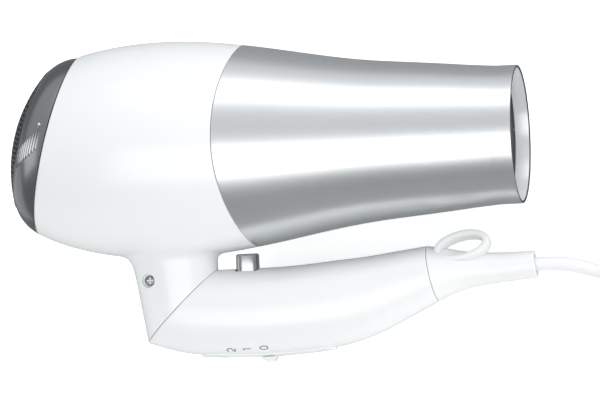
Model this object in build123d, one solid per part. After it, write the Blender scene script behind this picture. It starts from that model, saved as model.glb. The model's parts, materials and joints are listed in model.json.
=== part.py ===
"""Folding travel hair dryer lying on its side, with its mains lead wound up beside it.

The dryer is drawn in a design frame: X runs along the barrel towards the outlet, Y points
from the folded handle up to the barrel, and Z=0 is the plane of symmetry. A last step lays
the whole dryer on its side, on the belly of the housing and the flank of the handle, with
the outlet rim just clear of the floor.
Millimetres and degrees throughout.
"""
from build123d import *
import math
import os

# ---- barrel: radii of the turned outline and where along the barrel they lie ----
outlet_x = 131.5
outlet_r = 26.6
collar_len = 8.0
neck_x = 99.0
neck_r = 28.8
waist_x = 70.0
waist_r = 31.6
flank_x = 34.0
flank_r = 37.8
belly_x = -5.0
belly_r = 41.8
trim_r = 35.1
tail_x = -60.0
housing_wall = 2.2
sleeve_wall = 1.8

# ---- front edge of the white housing: a cut by a drum that lies across the barrel ----
seam_x = 18.3
seam_drum_r = 96.0
seam_drum_y = 3.0
seam_gap = 0.2
spigot_start = 6.0
spigot_end = 36.0
spigot_wall = 1.6

# ---- inlet: tilted trim ring, perforated dome and its carrier ----
trim_x = -48.0
trim_y = 3.3
trim_tilt = 15.5
trim_wall = 1.4
trim_skirt = 5.0
skirt_gap = 0.8
trim_nose_s = 10.8
grille_r = 26.8
grille_tuck = 1.0
dome_r = 62.0
dome_rise = 16.4
dome_wall = 0.8
cap_travel = 25.0

# ---- handle and stalk: rings given by inner point, outer point and half width ----
mitre_inner = (11.4, -47.0)
mitre_outer = (-16.8, -74.2)
mitre_half = 13.0
stalk_rings = [
    ((11.5, -43.5), (-19.2, -58.5), 13.3),
    ((12.0, -39.0), (-21.6, -45.0), 13.9),
    ((14.0, -33.0), (-25.0, -33.0), 15.5),
    ((16.0, -22.0), (-27.0, -22.0), 17.0),
]
handle_rings = [
    ((17.5, -47.0), (-4.5, -78.1), 13.6),
    ((24.5, -47.0), (12.0, -80.2), 14.0),
    ((33.0, -46.9), (29.0, -80.6), 14.2),
    ((45.0, -46.4), (45.0, -79.9), 14.2),
    ((58.0, -45.3), (58.5, -78.4), 14.0),
    ((69.0, -44.4), (71.0, -75.1), 13.5),
    ((81.0, -42.9), (84.0, -69.4), 12.8),
    ((93.4, -41.3), (97.3, -62.8), 12.0),
]
guard_rings = [
    ((99.0, -42.2), (101.5, -60.9), 10.3),
    ((106.0, -43.6), (107.5, -58.8), 8.4),
    ((117.0, -44.8), (118.0, -57.0), 6.5),
    ((134.9, -44.7), (135.9, -55.3), 5.3),
]
shell_wall = 2.0
end_wall = 3.0

# ---- swivel between stalk and handle, on the normal of the mitre ----
journal_r = 6.5
journal_bore_r = 4.5
journal_lip = 1.3
thrust_gap = 0.15
swivel_range = 180.0
detent_clear = 3.1
ball_r = 1.5
ball_track = 1.3
stop_pin_r = 1.2
stop_depth = 2.3

# ---- slide switch ----
knob_x = 30.6
knob_len = 9.0
knob_width = 9.0
knob_proud = 1.2
knob_step = 6.5
knob_stops = 2
neck_len = 6.0
neck_width = 3.2
plate_start = 4.3
plate_end = 56.5
plate_width = 10.4
plate_proud = 0.8
plate_sink = 1.0

# ---- cool air button ----
button_x = 23.3
button_side = 8.6
button_top = -41.3
button_under = -51.0
button_travel = 2.0
button_lip = 1.2
stem_r = 1.8
stem_end = -60.6
spring_top = -52.2
spring_bottom = -56.5
spring_pitch = 1.35
spring_wire_r = 0.4
seat_low = -58.2
seat_thick = 1.6
seat_len = 13.0

# ---- parts inside the handle: place along it, height of the lower face, and sizes ----
switch_x = 24.0
switch_low = -76.3
switch_size = (26.0, 6.5, 11.0)
board_x = 39.0
board_low = -69.7
board_len = 62.0
board_thick = 1.6
capacitor_x = 56.0
capacitor_size = (16.0, 8.5, 7.0)
microswitch_size = (12.0, 5.0, 6.0)

# ---- fan, motor and heater ----
duct_r = 33.0
duct_wall = 1.7
duct_start = -29.0
duct_end = 28.0
tip_gap = 0.8
motor_r = 14.0
motor_start = -10.0
motor_end = 22.0
shaft_r = 1.5
blade_count = 9
vane_count = 7
hub_r = 15.0
heater_r = 24.0
mica_wall = 0.6
heater_start = 34.0
grille_x = 108.0
grille_depth = 3.0
coil_row_r = 17.0
coil_wire_r = 1.3
coil_rows = 5

# ---- screws ----
screw_r = 1.3
screw_head_r = 2.3
screw_head_len = 1.8
boss_wall = 1.6
stalk_screw_at = (-14.0, -50.0)
handle_screws_at = [(40.0, -53.5), (76.0, -54.5)]

# ---- mains lead ----
cord_r = 2.75
mouth_r = 3.7
mouth_depth = 4.0
clamp_x = 84.0
loop_half = (11.2, 6.2)
loop_hole = (8.2, 3.4)
loop_at = (107.6, -42.4)
loop_tilt = 12.5
loop_lean = 24.0
loop_thick = 6.0

# ---- fits ----
slide_gap = 0.3
snug_gap = 0.1
run_gap = 0.05
split_gap = 0.02
far = 300.0
detent_at = journal_r + detent_clear

# ---- resting attitude on the floor ----
lie_pitch = 5.8
lie_roll = 20.5


# ---------------------------------------------------------------- helpers
def half_space(origin, direction):
    """Block that fills everything past a plane, on the side that direction points to."""
    block = Box(far, far, far, align=(Align.CENTER, Align.CENTER, Align.MIN))
    return Plane(origin=origin, z_dir=direction) * block


def slab(start, end):
    """Everything between two stations along the barrel."""
    block = Box(end - start, far, far, align=(Align.MIN, Align.CENTER, Align.CENTER))
    return Pos(start, 0, 0) * block


def turned(outline):
    """Solid turned about the barrel axis from an outline of (station, radius) corners."""
    return revolve(make_face(Polyline(*outline, close=True)), Axis.X, 360)


def tube(start, end, outer, inner):
    """Plain tube about the barrel axis."""
    return turned([(start, inner), (end, inner), (end, outer), (start, outer)])


def body_core(shrink, run_out=0.0):
    """Solid inside the barrel's outline, with the outline moved in by shrink."""
    tail_r = trim_r - 6.0
    shoulder_r = trim_r + 2.9
    points = [
        (tail_x, tail_r - shrink),
        (tail_x + 22.0, shoulder_r - shrink),
        (belly_x, belly_r - shrink),
        (flank_x, flank_r - shrink),
        (waist_x, waist_r - shrink),
        (neck_x, neck_r - shrink),
        (outlet_x - collar_len, outlet_r - shrink),
    ]
    outline = Spline(*points, tangents=((1, 0.62), (1, -0.06)))
    end_x = outlet_x + run_out
    rest = Polyline(points[-1], (end_x, outlet_r - shrink), (end_x, 0), (tail_x, 0), points[0])
    return revolve(make_face([outline, *rest.edges()]), Axis.X, 360)


def ring_plane(inner, outer):
    """Plane of a ring: its x axis points from the outer to the inner point."""
    middle = ((inner[0] + outer[0]) / 2, (inner[1] + outer[1]) / 2, 0)
    across = (inner[0] - outer[0], inner[1] - outer[1], 0)
    return Plane(origin=middle, x_dir=across, z_dir=(-across[1], across[0], 0))


def ring_face(ring, shrink):
    """Elliptical section of the handle or stalk, moved in by shrink."""
    inner, outer, half = ring
    depth = math.dist(inner, outer) / 2
    return ring_plane(inner, outer) * Ellipse(depth - shrink, half - shrink)


def carried_on(first, second, share):
    """Ring past the first one of a pair, further from the second by a share of the step."""
    inner = tuple(a + (a - b) * share for a, b in zip(first[0], second[0]))
    outer = tuple(a + (a - b) * share for a, b in zip(first[1], second[1]))
    return (inner, outer, first[2])


def lofted(rings, shrink=0.0):
    """Smooth solid through a row of rings."""
    return loft([ring_face(ring, shrink) for ring in rings])


def rod(plane, start, end, radius):
    """Cylinder along a plane's normal, from one height above the plane to another."""
    shape = Cylinder(radius, end - start, align=(Align.CENTER, Align.CENTER, Align.MIN))
    return plane * Pos(0, 0, start) * shape


def standing_box(long, tall, wide):
    """Box along X, Y and Z, centred on X and Z, with its lower face at Y = 0."""
    return Box(long, tall, wide, align=(Align.CENTER, Align.MIN, Align.CENTER))


def collar(plane, start, end, outer, inner):
    """Tube along a plane's normal."""
    return rod(plane, start, end, outer) - rod(plane, start - 1, end + 1, inner)


def left_half(shape):
    """Side of a shell that faces +Z."""
    return shape & half_space((0, 0, split_gap / 2), (0, 0, 1))


def right_half(shape):
    """Side of a shell that faces -Z."""
    return shape & half_space((0, 0, -split_gap / 2), (0, 0, -1))


def screw(plane, head_at, length):
    """Pan head screw with a crossed recess: its head starts at head_at and it points down."""
    head = rod(plane, head_at, head_at + screw_head_len, screw_head_r)
    slot_long = plane * Pos(0, 0, head_at + screw_head_len) * Box(2.8, 0.6, 1.2)
    slot_short = plane * Pos(0, 0, head_at + screw_head_len) * Box(0.6, 2.8, 1.2)
    return head + rod(plane, head_at - length, head_at, screw_r) - slot_long - slot_short


# ---------------------------------------------------------------- planes of reference
mitre_ring = (mitre_inner, mitre_outer, mitre_half)
mitre_mid = ring_plane(mitre_inner, mitre_outer).origin
swivel_axis = Vector(mitre_inner[1] - mitre_outer[1], mitre_outer[0] - mitre_inner[0], 0).normalized()
swivel = Plane(origin=mitre_mid, x_dir=(mitre_inner[0] - mitre_outer[0], mitre_inner[1] - mitre_outer[1], 0),
               z_dir=swivel_axis)
trim_axis = Vector(-math.cos(math.radians(trim_tilt)), math.sin(math.radians(trim_tilt)), 0)
trim = Plane(origin=(trim_x, trim_y, 0), x_dir=(0, 0, 1), z_dir=trim_axis)

all_handle_rings = [mitre_ring, *handle_rings]
all_stalk_rings = [mitre_ring, *stalk_rings]
all_guard_rings = [handle_rings[-1], *guard_rings]


def turned_about_trim(edges_or_points):
    """Solid turned about the tilted inlet axis from (height, radius) corners or edges."""
    if isinstance(edges_or_points[0], tuple):
        face = make_face(Polyline(*[(r, s) for s, r in edges_or_points], close=True))
    else:
        face = make_face(edges_or_points)
    upright = Plane(origin=(0, 0, 0), x_dir=(1, 0, 0), z_dir=(0, -1, 0))
    return trim * revolve(upright * face, Axis.Z, 360)


def seam_drum(gap):
    """Drum lying across the barrel; everything inside it belongs to the silver sleeve."""
    drum = Cylinder(seam_drum_r + gap, far)
    return Pos(seam_x + seam_drum_r, seam_drum_y, 0) * drum


# ---------------------------------------------------------------- housing and barrel
def stalk_screw_plane():
    """Plane of symmetry, centred on the screw that joins the two stalk halves."""
    return Plane(origin=(stalk_screw_at[0], stalk_screw_at[1], 0), z_dir=(0, 0, 1))


def make_housing():
    """White shell with the stalk, before it is split into its two halves."""
    body = body_core(0) + lofted(all_stalk_rings)
    body -= body_core(housing_wall, 2.0)
    hollow = lofted([carried_on(mitre_ring, stalk_rings[0], 0.4), *all_stalk_rings], shell_wall)
    hollow -= half_space(mitre_mid - swivel_axis * end_wall, swivel_axis)
    body -= hollow
    body -= half_space(trim.origin, trim_axis)
    body -= seam_drum(seam_gap / 2)
    band = body_core(housing_wall - 0.5) - body_core(housing_wall + snug_gap + spigot_wall, 2.0)
    band &= slab(spigot_start, spigot_end)
    band -= seam_drum(seam_gap / 2) - body_core(housing_wall + snug_gap)
    body += band
    plane = stalk_screw_plane()
    boss = rod(plane, -mitre_half, mitre_half, screw_head_r + boss_wall) & lofted(all_stalk_rings, 0.5)
    body += boss
    body -= rod(plane, 5.0, 30.0, screw_head_r + slide_gap)
    body -= rod(plane, -8.0, 6.0, screw_r + run_gap)
    body -= half_space(mitre_mid - swivel_axis * thrust_gap / 2, swivel_axis) & rod(swivel, -30, 30, 30)
    body -= rod(swivel, -2 * end_wall, 1, journal_r + run_gap)
    body -= collar(swivel, -ball_track, 1, detent_at + ball_r + slide_gap, detent_at - ball_r - slide_gap)
    body -= stop_slot()
    return body


def stop_slot():
    """Half-turn slot in the stalk's end wall, for the stop pin."""
    reach = stop_pin_r + slide_gap
    ring = collar(swivel, -stop_depth, 1, detent_at + reach, detent_at - reach)
    side = swivel * Pos(0, -far / 2, 0) * Box(far, far, far)
    ends = rod(stop_plane(), -stop_depth, 1, reach) + rod(stop_plane(180), -stop_depth, 1, reach)
    return (ring & side) + ends


def stop_plane(turn=0):
    """Swivel plane, moved out to the stop pin's circle."""
    return swivel * Rot(0, 0, turn) * Plane(origin=(detent_at, 0, 0))


def make_sleeve():
    """Silver barrel from the seam to the outlet."""
    sleeve = body_core(0) - body_core(sleeve_wall, 2.0)
    return sleeve & seam_drum(-seam_gap / 2)


# ---------------------------------------------------------------- inlet cap
def dome_s(radius, drop=0.0):
    """Height of the perforated dome above the trim plane at a radius."""
    ball = dome_r - drop
    return dome_rise - dome_r + math.sqrt(ball ** 2 - radius ** 2)


def make_trim_ring():
    """Dark chrome bezel around the inlet, with the skirt that plugs into the housing."""
    lip_r = grille_r
    tuck_r = grille_r + grille_tuck
    skirt_r = trim_r - housing_wall - skirt_gap
    seat = slide_gap
    bulge = ThreePointArc((trim_r, seat), (trim_r - 3.2, 6.4), (lip_r + 0.2, trim_nose_s))
    inside = Polyline((lip_r + 0.2, trim_nose_s), (lip_r, dome_s(lip_r) + snug_gap),
                      (tuck_r, dome_s(tuck_r) + snug_gap), (skirt_r - trim_wall, 3.0),
                      (skirt_r - trim_wall, -trim_skirt), (skirt_r, -trim_skirt),
                      (skirt_r, seat), (trim_r, seat))
    return turned_about_trim([bulge, *inside.edges()])


def make_inlet_dome():
    """Perforated dome, kept as a plain skin."""
    edge_r = grille_r + grille_tuck - 0.3
    outer = ThreePointArc((edge_r, dome_s(edge_r)), (edge_r / 2, dome_s(edge_r / 2)), (0, dome_s(0)))
    inner = ThreePointArc((0, dome_s(0, dome_wall)), (edge_r / 2, dome_s(edge_r / 2, dome_wall)),
                          (edge_r, dome_s(edge_r, dome_wall)))
    sides = [Line((0, dome_s(0)), (0, dome_s(0, dome_wall))),
             Line((edge_r, dome_s(edge_r, dome_wall)), (edge_r, dome_s(edge_r)))]
    return turned_about_trim([outer, sides[0], inner, sides[1]])


def make_inlet_carrier():
    """Spoked ring behind the dome."""
    rim = trim_r - housing_wall - skirt_gap - trim_wall - snug_gap
    carrier = collar(trim, 0.5, 2.5, rim, rim - 2.5)
    carrier += collar(trim, 0.5, 2.5, 9.0, 7.5)
    for turn in range(0, 360, 60):
        spoke = Box(rim - 9.5, 1.4, 2.0, align=(Align.MIN, Align.CENTER, Align.MIN))
        carrier += trim * Rot(0, 0, turn) * Pos(8.2, 0, 0.5) * spoke
    return carrier


# ---------------------------------------------------------------- fan and motor
def make_motor_mount():
    """Fan duct, guide vanes and motor pocket in one moulding."""
    inner_r = duct_r - duct_wall
    mount = tube(duct_start, duct_end, duct_r, inner_r)
    mount += tube(motor_start + 2, motor_end, motor_r + 1.6, motor_r + snug_gap)
    for i in range(vane_count):
        vane = Box(18.0, inner_r - motor_r - 0.5, 1.2, align=(Align.MIN, Align.MIN, Align.CENTER))
        mount += Rot(360 / vane_count * i, 0, 0) * Pos(motor_start + 6.0, motor_r + 1.0, 0) * vane
    flange = slab(-2.0, 0.0) & body_core(housing_wall + snug_gap)
    return mount + (flange - rod(Plane.YZ, -20, 20, inner_r + 0.5))


def make_motor_can():
    """Motor body with a clear bore for its bushes."""
    return tube(motor_start, motor_end, motor_r, 3.5)


def make_motor_bushes():
    """Two plain bearings, one at each end of the motor."""
    front = tube(motor_start, motor_start + 4, 3.5 - 0.02, shaft_r + run_gap)
    back = tube(motor_end - 4, motor_end, 3.5 - 0.02, shaft_r + run_gap)
    return front + back


def make_motor_cap():
    """Brush cap on the heater side of the motor."""
    cap = tube(motor_end + snug_gap, motor_end + 3.5, motor_r - 0.5, shaft_r + 0.6)
    return cap + tube(motor_end + 3.5, motor_end + 5.0, 4.0, shaft_r + 0.6)


def make_rectifier():
    """Round board with four diodes, behind the motor."""
    start = motor_end + 5.1
    board = tube(start, start + 1.6, 12.0, 2.5)
    for turn in range(45, 360, 90):
        diode = Rot(turn, 0, 0) * Pos(start + 3.0, 7.5, 0) * Cylinder(1.4, 5.0)
        board += diode
    return board


def make_shaft():
    """Fan shaft."""
    return rod(Plane.YZ, motor_start - 15.0, motor_end + 4.0, shaft_r)


def make_impeller():
    """Axial fan with twisted blades."""
    tip_r = duct_r - duct_wall - tip_gap
    start = motor_start - 15.0
    hub = tube(start, start + 12.0, hub_r, hub_r - 1.5) + tube(start, start + 1.8, hub_r, shaft_r + 0.02)
    hub += tube(start, start + 8.0, 4.0, shaft_r + 0.02)
    span = tip_r - hub_r + 3.0
    for i in range(blade_count):
        root = Rot(0, 0, 52) * Rectangle(1.3, 13.0)
        tip = Pos(0, 0, span) * Rot(0, 0, 66) * Rectangle(0.9, 15.0)
        blade = loft([root, tip])
        blade = Pos(start + 6.0, 0, hub_r - 0.8) * Rot(0, 0, 90) * blade
        hub += Rot(360 / blade_count * i, 0, 0) * blade
    trimmed = hub & tube(start - 1, start + 13, tip_r, shaft_r + 0.01)
    return trimmed - tube(start + 1.8, start + 13, hub_r - 1.5, 4.0)


# ---------------------------------------------------------------- heater and outlet
def make_air_guide():
    """Funnel from the fan duct down to the heater tube."""
    wall = 0.8
    front = heater_start + 4.0
    neck = heater_r + snug_gap
    return turned([(duct_end + snug_gap, duct_r - wall), (duct_end + snug_gap, duct_r),
                   (heater_start, neck + wall), (front, neck + wall), (front, neck),
                   (heater_start, neck)])


def make_mica_tube():
    """Heat shield tube around the heater."""
    return tube(heater_start + 0.5, grille_x - grille_depth - snug_gap, heater_r, heater_r - mica_wall)


def make_mica_cross():
    """Two crossed mica boards that carry the heating wire."""
    inner = heater_r - mica_wall - snug_gap
    start = heater_start + 6.0
    long = grille_x - grille_depth - 3.0 - start
    board = Box(long, 2 * inner, 0.8, align=(Align.MIN, Align.CENTER, Align.CENTER))
    cross = Pos(start, 0, 0) * board
    return cross + Pos(start, 0, 0) * Rot(90, 0, 0) * board


def make_heater_coils():
    """Rows of heating wire, as arcs between the mica boards."""
    reach = math.degrees(math.asin((0.4 + 0.3 + coil_wire_r) / coil_row_r))
    first = heater_start + 16.0
    last = grille_x - grille_depth - 8.0
    coils = []
    for row in range(coil_rows):
        at = first + (last - first) * row / (coil_rows - 1)
        for quarter in range(4):
            start = quarter * 90 + reach
            arc = CenterArc((0, 0, 0), coil_row_r, start, 90 - 2 * reach)
            bead = Plane(origin=arc @ 0, z_dir=arc % 0) * Circle(coil_wire_r)
            coil = sweep(bead, path=arc)
            coils.append(Pos(at, 0, 0) * Rot(0, 90, 0) * coil)
    return Compound([solid for coil in coils for solid in coil.solids()])


def make_thermostat():
    """Round bimetal thermostat on a mica board."""
    return rod(Plane(origin=(heater_start + 13.0, 9.0, 0.7)), 0, 4.0, 4.5)


def make_thermal_fuse():
    """Axial thermal fuse beside the thermostat."""
    return Pos(heater_start + 13.0, -9.0, 2.2) * Rot(0, 90, 0) * Cylinder(1.6, 11.0)


def make_outlet_grille():
    """Black grille across the outlet, at the end of the heater."""
    start = grille_x - grille_depth
    rim = slab(start, grille_x) & body_core(sleeve_wall + snug_gap)
    grille = rim - rod(Plane.YZ, start - 1, grille_x + 1, heater_r - 1.5)
    for radius in (7.0, 14.5):
        grille += tube(start + 0.6, grille_x, radius + 0.7, radius - 0.7)
    for turn in range(0, 360, 45):
        spoke = Box(grille_depth - 0.6, heater_r - 7.0, 1.2, align=(Align.MAX, Align.MIN, Align.CENTER))
        grille += Rot(turn + 22.5, 0, 0) * Pos(grille_x, 6.8, 0) * spoke
    return grille


# ---------------------------------------------------------------- handle
def handle_hollow(extra=0.0):
    """Space inside the handle, between the mitre wall and the cord guard."""
    rings = [carried_on(mitre_ring, handle_rings[0], 0.4), *all_handle_rings,
             carried_on(handle_rings[-1], handle_rings[-2], 0.15)]
    hollow = lofted(rings, shell_wall + extra)
    return hollow - half_space(mitre_mid + swivel_axis * (end_wall + extra), -swivel_axis)


def plate_zone(grow):
    """Rounded strip under the handle where the switch plate lies."""
    long = plate_end - plate_start + 2 * grow
    strip = Plane(origin=((plate_start + plate_end) / 2, -68.0, 0), x_dir=(1, 0, 0), z_dir=(0, -1, 0))
    return strip * extrude(RectangleRounded(long, plate_width + 2 * grow, 4.0 + grow), 40)


def handle_bottom(x, proud=0.0):
    """Height of the lowest line of the handle near the switch, at a station."""
    low = handle_rings[1][1]
    high = handle_rings[2][1]
    share = (x - low[0]) / (high[0] - low[0])
    return low[1] + (high[1] - low[1]) * share - proud


def neck_slot():
    """Slot for the slide switch's neck over its whole travel."""
    travel = knob_step * knob_stops
    long = neck_len + travel + 2 * slide_gap
    x_mid = knob_x - travel / 2
    return Pos(x_mid, -78.0, 0) * Box(long, 14.0, neck_width + 2 * slide_gap)


def button_hole():
    """Hole for the cool air button, through the inner side of the handle."""
    side = button_side + 2 * slide_gap
    hole = extrude(RectangleRounded(side, side, 2.0 + slide_gap), 12)
    return Plane(origin=(button_x, -53.0, 0), x_dir=(1, 0, 0), z_dir=(0, 1, 0)) * hole


def make_handle():
    """White handle shell, before it is split into its two halves."""
    hollow = handle_hollow()
    for x, y in handle_screws_at:
        plane = Plane(origin=(x, y, 0), z_dir=(0, 0, -1))
        hollow -= rod(plane, -far, far, screw_head_r + boss_wall)
    body = lofted(all_handle_rings) - hollow
    pocket = swivel * Pos(-detent_at, 0, 0)
    body += rod(pocket, thrust_gap, 9.0, ball_r + 1.3)
    for x, y in handle_screws_at:
        plane = Plane(origin=(x, y, 0), z_dir=(0, 0, -1))
        body -= rod(plane, 5.0, 30.0, screw_head_r + slide_gap)
        body -= rod(plane, -8.0, 6.0, screw_r + run_gap)
    body -= half_space(mitre_mid + swivel_axis * thrust_gap / 2, -swivel_axis)
    body -= rod(swivel, -1, 3 * end_wall, journal_r + snug_gap)
    body -= rod(swivel, end_wall, 3 * end_wall, journal_r + journal_lip + snug_gap)
    body -= rod(pocket, -1, 7.6, ball_r + snug_gap)
    body -= rod(stop_plane(), -1, end_wall + 1, stop_pin_r + run_gap)
    skin = lofted(all_handle_rings, -2.0) - lofted(all_handle_rings, plate_sink + snug_gap)
    body -= skin & plate_zone(snug_gap)
    body -= neck_slot()
    body -= button_hole()
    return body


def make_switch_plate():
    """Raised white strip with the slot of the slide switch."""
    plate = lofted(all_handle_rings, -plate_proud) - lofted(all_handle_rings, plate_sink)
    return (plate & plate_zone(0)) - neck_slot()


def make_knob():
    """Slide switch knob: ridged cap, neck through the slot, and foot inside."""
    far_stop = knob_x - knob_step * knob_stops
    face = min(handle_bottom(knob_x, plate_proud), handle_bottom(far_stop, plate_proud)) - slide_gap
    cap = Pos(knob_x, face - knob_proud, 0) * standing_box(knob_len, knob_proud, knob_width)
    cap = fillet(cap.edges().filter_by(Axis.Y), 1.6)
    neck_end = switch_low - slide_gap
    neck = Pos(knob_x, face - 0.2, 0) * standing_box(neck_len, neck_end - face + 0.2, neck_width)
    return cap + neck


def make_switch_module():
    """Three-position slide switch."""
    return Pos(switch_x, switch_low, 0) * standing_box(*switch_size)


def make_board():
    """Circuit board along the handle, held by the two shells."""
    board = Pos(board_x, board_low, 0) * standing_box(board_len, board_thick, far)
    return board & handle_hollow(snug_gap)


def on_board(x, size):
    """Block of a component, just above the circuit board."""
    return Pos(x, board_low + board_thick + snug_gap, 0) * standing_box(*size)


def make_capacitor():
    """Interference capacitor on the board."""
    return on_board(capacitor_x, capacitor_size)


def make_microswitch():
    """Switch that cuts the heater while the cool air button is held."""
    return on_board(button_x, microswitch_size)


def make_button_seat():
    """Cross plate that carries the button's spring."""
    seat = Pos(button_x, seat_low, 0) * standing_box(seat_len, seat_thick, far)
    seat &= handle_hollow(snug_gap)
    return seat - Pos(button_x, seat_low, 0) * Rot(90, 0, 0) * Cylinder(stem_r + slide_gap, 4 * seat_thick)


def make_button():
    """Cool air button with its retaining lip and stem."""
    square = RectangleRounded(button_side, button_side, 2.0)
    base = Plane(origin=(button_x, button_under, 0), x_dir=(1, 0, 0), z_dir=(0, 1, 0))
    cap = base * extrude(square, button_top - button_under)
    cap = fillet(cap.faces().sort_by(Axis.Y)[-1].edges(), 0.9)
    lip = Pos(button_x, button_under - 1.0, 0) * standing_box(button_side + 2 * button_lip, 1.2, button_side)
    stem = rod(base, stem_end - button_under, 0, stem_r)
    return cap + lip + stem


def make_button_spring():
    """Return spring around the button's stem."""
    height = spring_top - spring_bottom - 2 * spring_wire_r
    helix = Helix(pitch=spring_pitch, height=height, radius=stem_r + 3 * spring_wire_r)
    path = Pos(button_x, spring_bottom + spring_wire_r, 0) * Rot(-90, 0, 0) * helix
    edge = path.edges()[0]
    bead = Plane(origin=edge @ 0, z_dir=edge % 0) * Circle(spring_wire_r)
    return sweep(bead, path=edge, is_frenet=True)


# ---------------------------------------------------------------- swivel pieces
def make_journal():
    """Hollow journal that ties the handle to the stalk and lets the wires through."""
    end = end_wall + 1.6
    tubing = collar(swivel, -6.2, end, journal_r, journal_bore_r)
    return tubing + collar(swivel, end_wall + snug_gap, end, journal_r + journal_lip, journal_bore_r)


def make_washer():
    """Spring washer under the retaining ring."""
    return collar(swivel, -end_wall - 1.0, -end_wall - 0.2, journal_r + 2.4, journal_r + run_gap)


def make_retainer():
    """Retaining ring on the end of the journal."""
    return collar(swivel, -end_wall - 2.4, -end_wall - 1.1, journal_r + 2.2, journal_r + 0.02)


def make_wire_bundle():
    """Sleeved wires through the journal."""
    return rod(swivel, -9.0, end_wall + 5.0, journal_bore_r - slide_gap)


def make_detent_ball():
    """Steel ball that holds the handle folded or open."""
    return swivel * Pos(-detent_at, 0, ball_r - ball_track + slide_gap) * Sphere(ball_r)


def make_detent_spring():
    """Short spring behind the ball."""
    start = 2 * ball_r - ball_track + slide_gap + snug_gap
    return collar(swivel * Pos(-detent_at, 0, 0), start, 7.5, ball_r - 0.1, ball_r - 0.6)


def make_stop_pin():
    """Pin that ends the swivel's half turn."""
    return rod(stop_plane(), -stop_depth + slide_gap, end_wall, stop_pin_r)


# ---------------------------------------------------------------- cord guard and inlet of the lead
def mouth_plane():
    """End face of the cord guard."""
    inner, outer, _ = guard_rings[-1]
    face = ring_plane(inner, outer)
    return Plane(origin=face.origin, x_dir=face.x_dir, z_dir=-face.z_dir)


def lead_line():
    """Plane at the clamp whose normal points along the lead, through the guard's mouth."""
    mouth = mouth_plane().origin
    start = Vector(clamp_x - 4.0, -53.5, 0)
    return Plane(origin=start, x_dir=(0, 0, 1), z_dir=mouth - start), (mouth - start).length


def loop_plane():
    """Plane of the hang loop, tilted along the guard and leaning to -Z at its top."""
    tilt = math.radians(loop_tilt)
    lean = math.radians(loop_lean)
    along = Vector(math.cos(tilt), math.sin(tilt), 0)
    up = Vector(-math.sin(tilt) * math.cos(lean), math.cos(tilt) * math.cos(lean), -math.sin(lean))
    return Plane(origin=(loop_at[0], loop_at[1], 0), x_dir=along, z_dir=along.cross(up))


def make_guard():
    """Soft cord guard with its hang loop and the neck that sits in the handle."""
    guard = lofted(all_guard_rings)
    plane = loop_plane()
    loop = plane * extrude(Ellipse(*loop_half), loop_thick / 2, both=True)
    guard += loop
    guard -= plane * extrude(Ellipse(*loop_hole), loop_thick * 2, both=True)
    face = ring_face(handle_rings[-1], shell_wall + snug_gap)
    normal = ring_plane(*handle_rings[-1][:2]).z_dir
    guard += extrude(face, 6.0, dir=normal)
    line, length = lead_line()
    guard -= rod(line, 0, length + 20, cord_r + run_gap)
    guard -= rod(line, length - mouth_depth, length + 20, mouth_r)
    return guard


def make_lead_tail():
    """Sheathed end of the lead, from the clamp to the guard's mouth."""
    line, length = lead_line()
    return rod(line, 0, length - mouth_depth + 1.0, cord_r)


def make_clamp():
    """Bar that grips the lead inside the handle."""
    line, _ = lead_line()
    block = line * Pos(0, 0, 1.0) * Box(18.0, 9.0, 6.0, align=(Align.CENTER, Align.CENTER, Align.MIN))
    block &= handle_hollow(snug_gap)
    return block - rod(line, -5, 20, cord_r + 0.02)


# ---------------------------------------------------------------- mains lead, in the resting frame
lead_in = [
    (96.3, -28.3, 10.9),
    (107.5, -27.6, 10.0),
    (119.5, -30.2, 6.9),
    (133.5, -34.8, 4.4),
    (149.5, -37.9, 3.9),
    (165.0, -38.4, 3.8),
]
lead_out = [
    (201.5, -25.6, 14.8),
    (210.0, -18.0, 14.6),
    (218.2, -9.6, 12.6),
    (224.6, 0.6, 10.4),
    (227.4, 9.5, 9.4),
    (228.0, 19.0, 9.0),
]
coil_mid = (174.0, -1.5)
coil_turn_r = 31.0
coil_lift = 1.05
coil_side = 3
tie_wall = 1.0
tie_angle = 60.0
tie_width = 10.0
relief_len = 18.0
plug_len = 27.0
plug_width = 36.0
plug_thick = 18.0
pin_len = 19.0
pin_r = 2.4
pin_pitch = 19.0


def cord_tube(points):
    """Tube through the lead's points, with the widest arcs that the runs allow."""
    radii = []
    for before, here, after in zip(points, points[1:], points[2:]):
        first = Vector(*here) - Vector(*before)
        second = Vector(*after) - Vector(*here)
        half_turn = math.radians(first.get_angle(second)) / 2
        radii.append(0.45 * min(first.length, second.length) / math.tan(half_turn))
    path = FilletPolyline(*points, radius=radii)
    bead = Plane(origin=path @ 0, z_dir=path % 0) * Circle(cord_r)
    shape = sweep(bead, path=path)
    expected = math.pi * cord_r ** 2 * path.length
    print("lead radii", [round(r, 1) for r in radii], "length", round(path.length, 1),
          "volume against section times length", round(shape.volume / expected, 4))
    return shape


def coil_section(grow):
    """Rounded section of the wound lead, at its place beside the coil's axis."""
    side = coil_side * 2 * cord_r + 2 * grow
    middle = coil_lift + coil_side * cord_r
    return Plane.XZ * Pos(coil_turn_r, middle, 0) * RectangleRounded(side, side, cord_r)


def make_coil():
    """Outer shape of the wound lead."""
    return Pos(coil_mid[0], coil_mid[1], 0) * revolve(coil_section(0), Axis.Z, 360)


def make_tie():
    """Strap around the wound lead."""
    arc = math.degrees(tie_width / coil_turn_r)
    strap = revolve(coil_section(tie_wall) - coil_section(0.05), Axis.Z, arc)
    return Pos(coil_mid[0], coil_mid[1], 0) * Rot(0, 0, tie_angle) * strap


def plug_frame():
    """Plane at the start of the plug: its normal points out along the pins."""
    return Plane(origin=lead_out[-1], x_dir=(1, 0, 0), z_dir=(0, 1, 0))


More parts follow.
